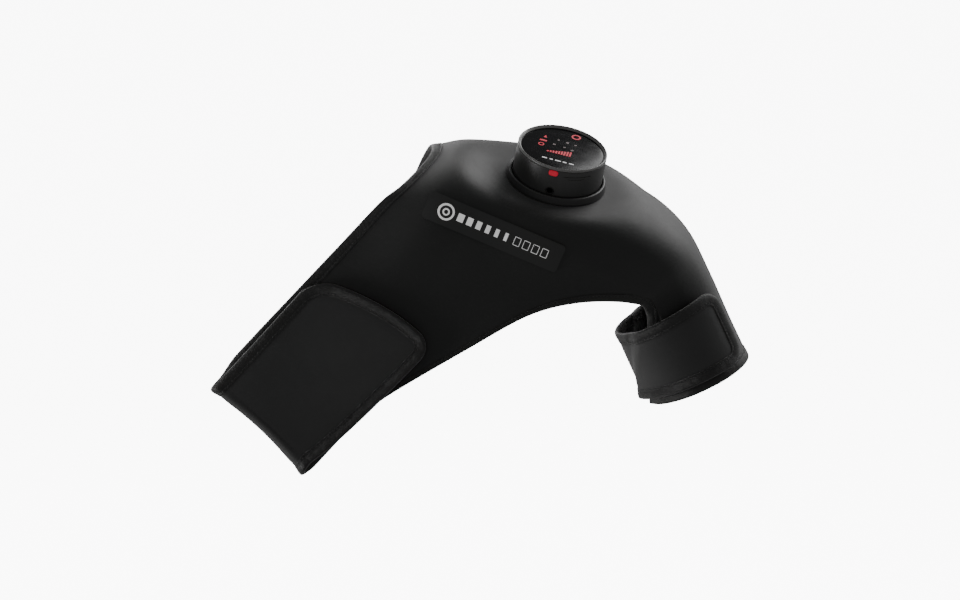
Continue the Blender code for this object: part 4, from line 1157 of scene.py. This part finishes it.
def arm_sheet(angles, inset=0.0):
    """A stretch of the arm strap."""
    angles = np.asarray(angles, float)[:, None]
    low, high = strap_edges(angles)
    cut = strap_inset(angles)
    share = np.linspace(0, 1, 25)[None, :]
    heights = low + cut + share * (high - low - 2 * cut)
    wide = np.broadcast_to(angles, heights.shape)
    rim = np.minimum(heights - low, high - heights)
    rim = np.minimum(rim, (STRAP_TIP - wide) * 50)
    crown = 0.5 * smooth((rim - 6.5) / 9) - 0.15
    radius = strap_radius(wide, heights)
    return sheet_chunk(arm_point(heights, wide, radius + STRAP_THICK + crown - inset),
                       arm_point(heights, wide, radius + inset), strap_knit)


def arm_edge(angles, side):
    """at(x) along the strap's lower or upper edge."""
    angles = np.asarray(angles, float)

    def at(x):
        height = strap_edges(angles)[side] + (x if side == 0 else -x)
        return arm_point(height, angles, strap_radius(angles, height) + STRAP_THICK), arm_normal(angles)
    return at


def tab_edge(first):
    """at(x) from the upper edge round the tab to the lower edge."""
    corner = STRAP_CORNER / float(strap_radius(STRAP_TIP, STRAP_LOW))
    straight = np.linspace(first, STRAP_TIP - corner, 80)
    bend = np.linspace(0, math.pi / 2, 18)[1:]
    low, high = strap_edges(STRAP_TIP)
    turn = [(STRAP_TIP - corner * (1 - math.sin(b)), STRAP_CORNER * (1 - math.cos(b)), -math.sin(b),
             math.cos(b)) for b in bend]
    tip = np.linspace(high - STRAP_CORNER, low + STRAP_CORNER, 22)[1:-1]
    rows = [(a, strap_edges(a)[1], 0.0, -1.0) for a in straight]
    rows += [(a, high - cut, back, -up) for a, cut, back, up in turn]
    rows += [(STRAP_TIP, h, -1.0, 0.0) for h in tip]
    rows += [(a, low + cut, back, up) for a, cut, back, up in turn[::-1]]
    rows += [(a, strap_edges(a)[0], 0.0, 1.0) for a in straight[::-1]]
    rows = np.array([[float(c) for c in row] for row in rows])

    def at(x):
        angle = rows[:, 0] + rows[:, 2] * x / strap_radius(rows[:, 0], rows[:, 1])
        height = rows[:, 1] + rows[:, 3] * x
        return arm_point(height, angle, strap_radius(angle, height) + STRAP_THICK), arm_normal(angle)
    return at


def arm_patch(angles, heights, radius, thickness, mat):
    """A thin curved patch round the arm."""
    a, h = grid(angles, heights)
    return sheet_chunk(arm_point(h, a, radius(a) + thickness), arm_point(h, a, radius(a)), mat)


# The strap's bend reaches this far either side of the hinge, and laps over its neighbours
BEND_REACH = math.radians(6)
BEND_LAP = math.radians(2)


def arm_strap():
    """The strap sewn to the back of the sleeve, its bend and its end over the sleeve's front."""
    near, far = STRAP_HINGE - BEND_REACH, STRAP_HINGE + BEND_REACH
    angles = np.linspace(STRAP_BACK, near, 40)
    chunks = [arm_sheet(angles)]
    for side in (0, 1):
        chunks += tape_chunks(arm_edge(angles, side), STRAP_THICK)
    left, right = STRAP_BACK + math.radians(3), STRAP_BACK + math.radians(17)
    box = [(left, 20), (right, 20), (right, 55), (left, 55), (left, 20), (right, 55)]
    route = np.concatenate([np.linspace(p, q, 12) for p, q in zip(box, box[1:])])
    sewn = arm_point(route[:, 1], route[:, 0], strap_radius(route[:, 0], route[:, 1]) + STRAP_THICK + 0.42)
    chunks.append(stitch_chunk(sewn, arm_normal(route[:, 0]), thread))
    piece("arm_strap_back", chunks, "wrap", "neoprene", "arm_strap")

    bend = np.linspace(near - BEND_LAP, far + BEND_LAP, 30)
    chunks = [arm_sheet(bend, 0.06)]
    for side in (0, 1):
        chunks += tape_chunks(arm_edge(bend, side), STRAP_THICK, shrink=0.05)
    obj = build_mesh("arm_strap_bend", chunks)
    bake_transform(obj)
    finish_piece(obj, None, "neoprene")

    corner = STRAP_CORNER / float(strap_radius(STRAP_TIP, STRAP_LOW))
    angles = np.concatenate([np.linspace(far, STRAP_TIP - corner, 60),
                             STRAP_TIP - corner * (1 - np.sin(np.linspace(0, math.pi / 2, 14)[1:]))])
    piece("arm_flap_padded", [arm_sheet(angles)], "arm_flap", "neoprene", "arm_flap")
    tape = tape_chunks(tab_edge(far), STRAP_THICK)
    piece("arm_flap_tape", tape, "arm_flap", "binding", "arm_flap_binding")
    hook = arm_patch(np.radians(np.linspace(2, 36, 24)), np.linspace(20, 54, 16),
                     lambda a: strap_radius(a, STRAP_LOW) - 1.3, 1.2, hook_nap)
    piece("arm_hook_pad", [hook], "arm_flap", "hook", "arm_hook_patch")
    loop = arm_patch(np.radians(np.linspace(-8, 46, 30)), np.linspace(12, 60, 16),
                     lambda a: SLEEVE_RADIUS + 0.4, 1.5, loop_nap)
    piece("arm_loop_pad", [loop], "wrap", "loop", "arm_loop_patch")


# Label and patches --------------------------------------------------------------------------------

def plane_frame(origin, x_axis, normal):
    """A frame with X near x_axis and Z along the normal."""
    z = Vector(normal).normalized()
    x = Vector(x_axis)
    x = (x - z * x.dot(z)).normalized()
    return Matrix.Translation(Vector(origin)) @ Matrix((x, z.cross(x), z)).transposed().to_4x4()


def laid(place, x, y, height):
    """Points of a flat drawing (x, y) laid on the skin at a height."""
    x, y, height = np.broadcast_arrays(np.asarray(x, float), np.asarray(y, float), np.asarray(height, float))
    direction = -place.col[2].to_3d()
    out = np.zeros(x.shape + (3,))
    for k in np.ndindex(x.shape):
        hit, normal = laid_point(place @ Vector((x[k], y[k], 60)), direction)
        out[k] = hit + normal * height[k]
    return out


def patch_chunk(place, size, corner, low, high, mat, steps=(60, 14)):
    """A patch with round corners laid on the skin."""
    x = np.linspace(-size[0] / 2, size[0] / 2, steps[0])
    ends = size[0] / 2 - corner * (1 - np.sin(np.linspace(0, math.pi / 2, 8)))
    x = np.unique(np.round(np.concatenate([x[np.abs(x) < size[0] / 2 - corner], ends, -ends]), 4))
    inset = corner_cut(np.abs(x) - size[0] / 2 + corner, corner)
    share = np.linspace(-1, 1, steps[1])[None, :]
    y = share * (size[1] / 2 - inset)[:, None]
    wide = np.broadcast_to(x[:, None], y.shape)
    return sheet_chunk(laid(place, wide, y, high), laid(place, wide, y, low), mat)


def ribbon_chunk(place, points, width, low, high, mat, closed=False):
    """A printed line laid on the skin."""
    points = np.array(points, float)
    if closed:
        points = np.concatenate([points, points[:1]])
    run = np.gradient(points, axis=0)
    side = unit(np.stack([-run[:, 1], run[:, 0]], axis=-1)) * width / 2
    x = np.stack([points[:, 0] - side[:, 0], points[:, 0] + side[:, 0]], axis=1)
    y = np.stack([points[:, 1] - side[:, 1], points[:, 1] + side[:, 1]], axis=1)
    return sheet_chunk(laid(place, x, y, high), laid(place, x, y, low), mat)


def circle(x, y, radius, count=40, start=0.0, end=2 * math.pi):
    """Points of a circle or an arc."""
    angles = np.linspace(start, end, count)
    return np.stack([x + radius * np.cos(angles), y + radius * np.sin(angles)], axis=-1)


def bar(x, y, width, height):
    """The outline of a bar, closed."""
    w, h = width / 2, height / 2
    corners = [(x - w, y - h), (x + w, y - h), (x + w, y + h), (x - w, y + h), (x - w, y - h)]
    return np.concatenate([np.linspace(p, q, 6)[:-1] for p, q in zip(corners, corners[1:])] + [[corners[0]]])


def label():
    """The moulded label with a plain ring-and-bars mark."""
    place = plane_frame((-50, -60, -17), (0.918, 0.0, -0.397), (0.05, -0.97, 0.25))
    chunks = [patch_chunk(place, (121, 23.5), 3.0, -0.3, 1.5, label_rubber)]

    def print_line(points, width):
        chunks.append(ribbon_chunk(place, points, width, 1.45, 1.62, print_white_painted_glow))

    print_line(circle(-43, 0, 6.2), 1.7)
    print_line(circle(-43, 0, 2.4, 24), 1.3)
    for k in range(6):
        line = np.stack([np.full(8, -30 + 8.2 * k), np.linspace(-3.4, 3.4, 8)], axis=-1)
        print_line(line, 5.6 - 0.55 * k)
    for k in range(4):
        print_line(bar(21 + 8.2 * k, 0, 5.2, 6.8), 0.45)
    piece("label_moulded", chunks, "wrap", "label", "label_patch")


def loops():
    """The loop patches on the chest and back panels."""
    landing = plane_frame(band_point(92, BAND_WIDTH / 2, 0), BAND_ALONG, BAND_OUT)
    pad = patch_chunk(landing, (58, 72), 3, -0.3, 1.6, loop_nap, (24, 24))
    piece("chest_loop_pad", [pad], "wrap", "loop", "chest_loop_patch")
    blade = plane_frame((-92, 97, -58), BAND_ALONG, (0, 1, 0))
    pad = patch_chunk(blade, (42, 52), 3, -0.3, 1.8, loop_nap, (22, 22))
    piece("back_loop_pad", [pad], "wrap", "loop", "back_loop_patch")


# Module -------------------------------------------------------------------------------------------

def facing_out(height):
    """A frame on the module's axis at a height, with Z out through the wall with the button."""
    return MODULE @ Matrix.Translation((0, 0, height)) @ Matrix.Rotation(math.radians(90), 4, "X")


def stadium(width, height, steps=10):
    """Outline of a bar with round ends."""
    radius = height / 2
    reach = width / 2 - radius
    right = circle(reach, 0, radius, steps, -math.pi / 2, math.pi / 2)
    left = circle(-reach, 0, radius, steps, math.pi / 2, 3 * math.pi / 2)
    return np.concatenate([right, left])


def prism_chunk(outline, low, high, mat, matrix, dome=0.0):
    """A straight solid with an (x, y) outline, its top softly rounded by dome."""
    outline = np.asarray(outline, float)
    centre = outline.mean(axis=0)
    levels = [(low, 1.0), (high - dome, 1.0)]
    if dome > 0:
        levels += [(high - dome * 0.45, 0.97), (high - dome * 0.12, 0.88), (high, 0.62)]
    rings = []
    for level, size in levels:
        flat = centre + (outline - centre) * size
        rings.append(np.concatenate([flat, np.full((len(flat), 1), level)], axis=1))
    return tube_chunk(moved(np.array(rings), matrix), mat)


def cut_by(obj, chunk):
    """Cuts a solid out of an object and applies it."""
    cutter = build_mesh("cutter", [chunk])
    modifier = obj.modifiers.new("cut", "BOOLEAN")
    modifier.operation = "DIFFERENCE"
    modifier.solver = "EXACT"
    modifier.object = cutter
    settle(obj)
    bpy.data.objects.remove(cutter, do_unlink=True)


def housing():
    """The housing's turned wall with its button slot, charging port and sweep of grooves."""
    top = RIM - 2.5
    low = SEAT + 5.3
    shelf = RIM - 3.5
    inner = 35.8
    profile = rounded([(inner, low), (37.6, low), (RADIUS, low + 1.2), (RADIUS, top), (inner, top),
                       (inner, shelf), (30.5, shelf), (30.5, shelf - 1.3), (inner, shelf - 1.3)], 0.35)
    obj = build_mesh("housing_moulded", [lathe_chunk(profile, shell_plastic)], sharp=35)
    port = circle(0, 0, 3.75, 33)[:-1]
    cut_by(obj, prism_chunk(stadium(8.8, 5.4), 33, 42, hole_black, facing_out(BUTTON_HEIGHT)))
    cut_by(obj, prism_chunk(port, 33, 42, hole_black, facing_out(SOCKET_HEIGHT)))
    for level, start, end in ((RIM - 7.0, 283, 322), (RIM - 9.3, 289, 312)):
        angles = np.radians(np.linspace(start, end, 24))
        ring = []
        for a in angles:
            for r, h in ((37.5, -0.22), (38.6, -0.22), (38.6, 0.22), (37.5, 0.22)):
                ring.append((r * math.cos(a), r * math.sin(a), level + h))
        rings = moved(np.array(ring).reshape(len(angles), 4, 3), MODULE)
        cut_by(obj, tube_chunk(rings, hole_black))
    obj.data.set_sharp_from_angle(angle=math.radians(35))
    finish_piece(obj, "module", "casing", "module_housing")


def face():
    """The bezel and the lens, whose edge is a quarter round."""
    bezel = rounded([(RADIUS, RIM - 2.2), (RADIUS, RIM - 0.7), (37.4, RIM), (36.9, RIM), (35.4, RIM - 1.6),
                     (35.1, RIM - 2.2)], 0.3)
    piece("bezel_turned", [lathe_chunk(bezel, bezel_satin)], "module", "bezel", "bezel_ring", sharp=60)
    radius, edge = 34.8, 0.35
    dome = [(0.05, LENS_TOP - 1.1), (radius, LENS_TOP - 1.1)]
    dome += [(radius * math.cos(a), LENS_TOP - edge + edge * math.sin(a)) for a in np.linspace(0, 1.5, 12)]
    dome.append((0.05, LENS_TOP))
    piece("lens_polished", [lathe_chunk(dome, lens_black)], "module", "lens", "display_lens")


def collar():
    """The soft lip round the foot of the module."""
    lip = rounded([(38.9, SEAT + 0.4), (42.2, SEAT + 0.2), (42.0, SEAT + 2.0), (41.4, SEAT + 4.9),
                   (41.0, SEAT + 6.6), (40.2, SEAT + 7.1), (39.3, SEAT + 7.0), (38.7, SEAT + 6.2)], 0.9, 5)
    piece("collar_lip", [lathe_chunk(lip, collar_rubber)], "wrap", "collar", "dock_collar", sharp=70)


def controls():
    """The power button and the charging socket."""
    button = prism_chunk(stadium(8.0, 4.6), 36.1, RADIUS + 0.75, button_glow, facing_out(BUTTON_HEIGHT), 0.5)
    piece("button_lit", [button], "power_button", "button", "power_button", sharp=60)
    barrel = rounded([(0.05, 28.6), (3.4, 28.6), (3.4, 37.75), (2.5, 37.6), (2.5, 30.1), (0.05, 30.1)], 0.2)
    socket = lathe_chunk(barrel, hole_black, 48, place=facing_out(SOCKET_HEIGHT))
    piece("socket_barrel", [socket], "module", "casing", "charge_socket")


# Lit marks start just under the lens's surface and stand this far over it
MARK_LOW = LENS_TOP - 0.05
MARK_HIGH = LENS_TOP + 0.06


def display_chunk(outline, mat):
    """A lit shape on the lens."""
    return prism_chunk(outline, MARK_LOW, MARK_HIGH, mat, MODULE)


def ring_outline_chunk(x, y, outer, inner, mat, count=28):
    """A lit ring on the lens."""
    profile = [(inner, MARK_LOW), (outer, MARK_LOW), (outer, MARK_HIGH), (inner, MARK_HIGH)]
    return lathe_chunk(profile, mat, count, (x, y))


def box_outline(x, y, width, height):
    """A rectangle's corners."""
    w, h = width / 2, height / 2
    return [(x - w, y - h), (x + w, y - h), (x + w, y + h), (x - w, y + h)]


def display():
    """Generic lit marks on the display."""
    chunks = [ring_outline_chunk(7, 26, 4.0, 2.6, red_glow)]
    chunks.append(display_chunk([(-19, 13), (-16, 13), (-17.5, 17)], red_glow))
    chunks.append(display_chunk(box_outline(-18, 7.5, 6.0, 2.2), red_glow))
    chunks.append(ring_outline_chunk(-18.5, 0.5, 2.6, 1.7, red_glow, 20))
    for k, (x, y) in enumerate(((-6, 14), (2, 13), (9, 12), (-8, 5), (1, 4), (8, 2))):
        size = 1.8 + 0.5 * (k % 2)
        chunks.append(display_chunk(box_outline(x, y, size, size), dim_glow))
    for k in range(9):
        height = 2.0 + 0.75 * k
        chunks.append(display_chunk(box_outline(-11 + 2.35 * k, -9.5 + height / 2, 1.55, height), red_glow))
    for k, width in enumerate((4.2, 2.6, 5.0, 3.2, 4.0)):
        chunks.append(display_chunk(box_outline(-11.5 + 5.8 * k, -21, width, 1.3), white_glow))
    piece("display_marks", chunks, "module", "screen", sharp=30)


NODE_MATERIALS = {
    "module_base": dark_plastic, "inner_tray": dark_plastic, "dock_plate": dark_plastic,
    "dock_clamp_ring": dark_plastic, "relief_valve": dark_plastic, "air_nipple": dark_plastic,
    "button_switch": dark_plastic, "housing_seal": collar_rubber, "air_grommet": collar_rubber,
    "air_tube": bladder_film, "main_board": board_green, "battery_cell": foil, "air_pump": steel,
    "display_panel": lens_black,
}


def dress_nodes():
    """Better materials for the CAD nodes that stay."""
    for name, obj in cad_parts.items():
        mat = NODE_MATERIALS.get(name, steel if "screw" in name else None)
        if mat:
            for slot in obj.material_slots:
                slot.material = mat


# Studio -------------------------------------------------------------------------------------------

def area_light(name, place, target, size, power):
    """A soft rectangular light aimed at a point."""
    data = bpy.data.lights.new(name, "AREA")
    data.shape = "RECTANGLE"
    data.size, data.size_y = size
    data.energy = power
    obj = bpy.data.objects.new(name, data)
    bpy.context.scene.collection.objects.link(obj)
    obj.location = place
    obj.rotation_euler = (Vector(target) - Vector(place)).to_track_quat("-Z", "Y").to_euler()


def studio():
    """Camera, floor and lights."""
    scene = bpy.context.scene
    data = bpy.data.cameras.new("camera")
    camera = bpy.data.objects.new("camera", data)
    scene.collection.objects.link(camera)
    elevation = math.radians(15)
    target = Vector((-0.0613, -0.020, -0.0867))
    view = Vector((0, math.cos(elevation), -math.sin(elevation)))
    data.lens = 400
    width = 0.8064
    distance = width * data.lens / data.sensor_width
    camera.location = target - view * distance
    camera.rotation_euler = view.to_track_quat("-Z", "Y").to_euler()
    data.clip_end = 80
    scene.camera = camera

    n = Nodes("floor_paper", (0.86, 0.86, 0.86), 0.9, Emission_Color=(1, 1, 1, 1), Emission_Strength=9.0)
    mottle = n.noise(n.place("Object"), 3.0, 3.0)
    n.join(n.blend(mottle, (0.85, 0.85, 0.85), (0.88, 0.88, 0.88)), "Base Color")
    side = 12.0
    mesh = bpy.data.meshes.new("floor")
    level = -0.62
    mesh.from_pydata([(-side, -side, level), (side, -side, level), (side, side, level), (-side, side, level)],
                     [], [(0, 1, 2, 3)])
    mesh.materials.append(n.mat)
    floor = bpy.data.objects.new("floor", mesh)
    scene.collection.objects.link(floor)
    floor.visible_diffuse = False
    floor.visible_glossy = False

    world = bpy.data.worlds.new("studio")
    scene.world = world
    world.use_nodes = True
    background = world.node_tree.nodes["Background"]
    background.inputs["Color"].default_value = (1, 1, 1, 1)
    background.inputs["Strength"].default_value = 0.32

    lens = Vector((0.008, -0.011, 0.043))
    back = Vector((0.17, 0.73, 0.66)).normalized()
    area_light("right_card", lens + back * 1.2 + Vector((0.70, 0, 0)), lens, (1.2, 0.9), 24)
    area_light("back_card", (-0.7, 1.3, 0.25), (0, 0, 0), (1.0, 0.7), 7)
    area_light("left_card", (-1.3, -0.15, -0.6), (-0.1, 0, -0.12), (0.8, 0.8), 26)


def main():
    """Makes every piece."""
    shell()
    pocket_lining()
    pads()
    skin_tapes()
    chest_flap()
    chest_strap()
    fold()
    arm_strap()
    label()
    loops()
    housing()
    face()
    collar()
    controls()
    display()
    dress_nodes()
    studio()


main()
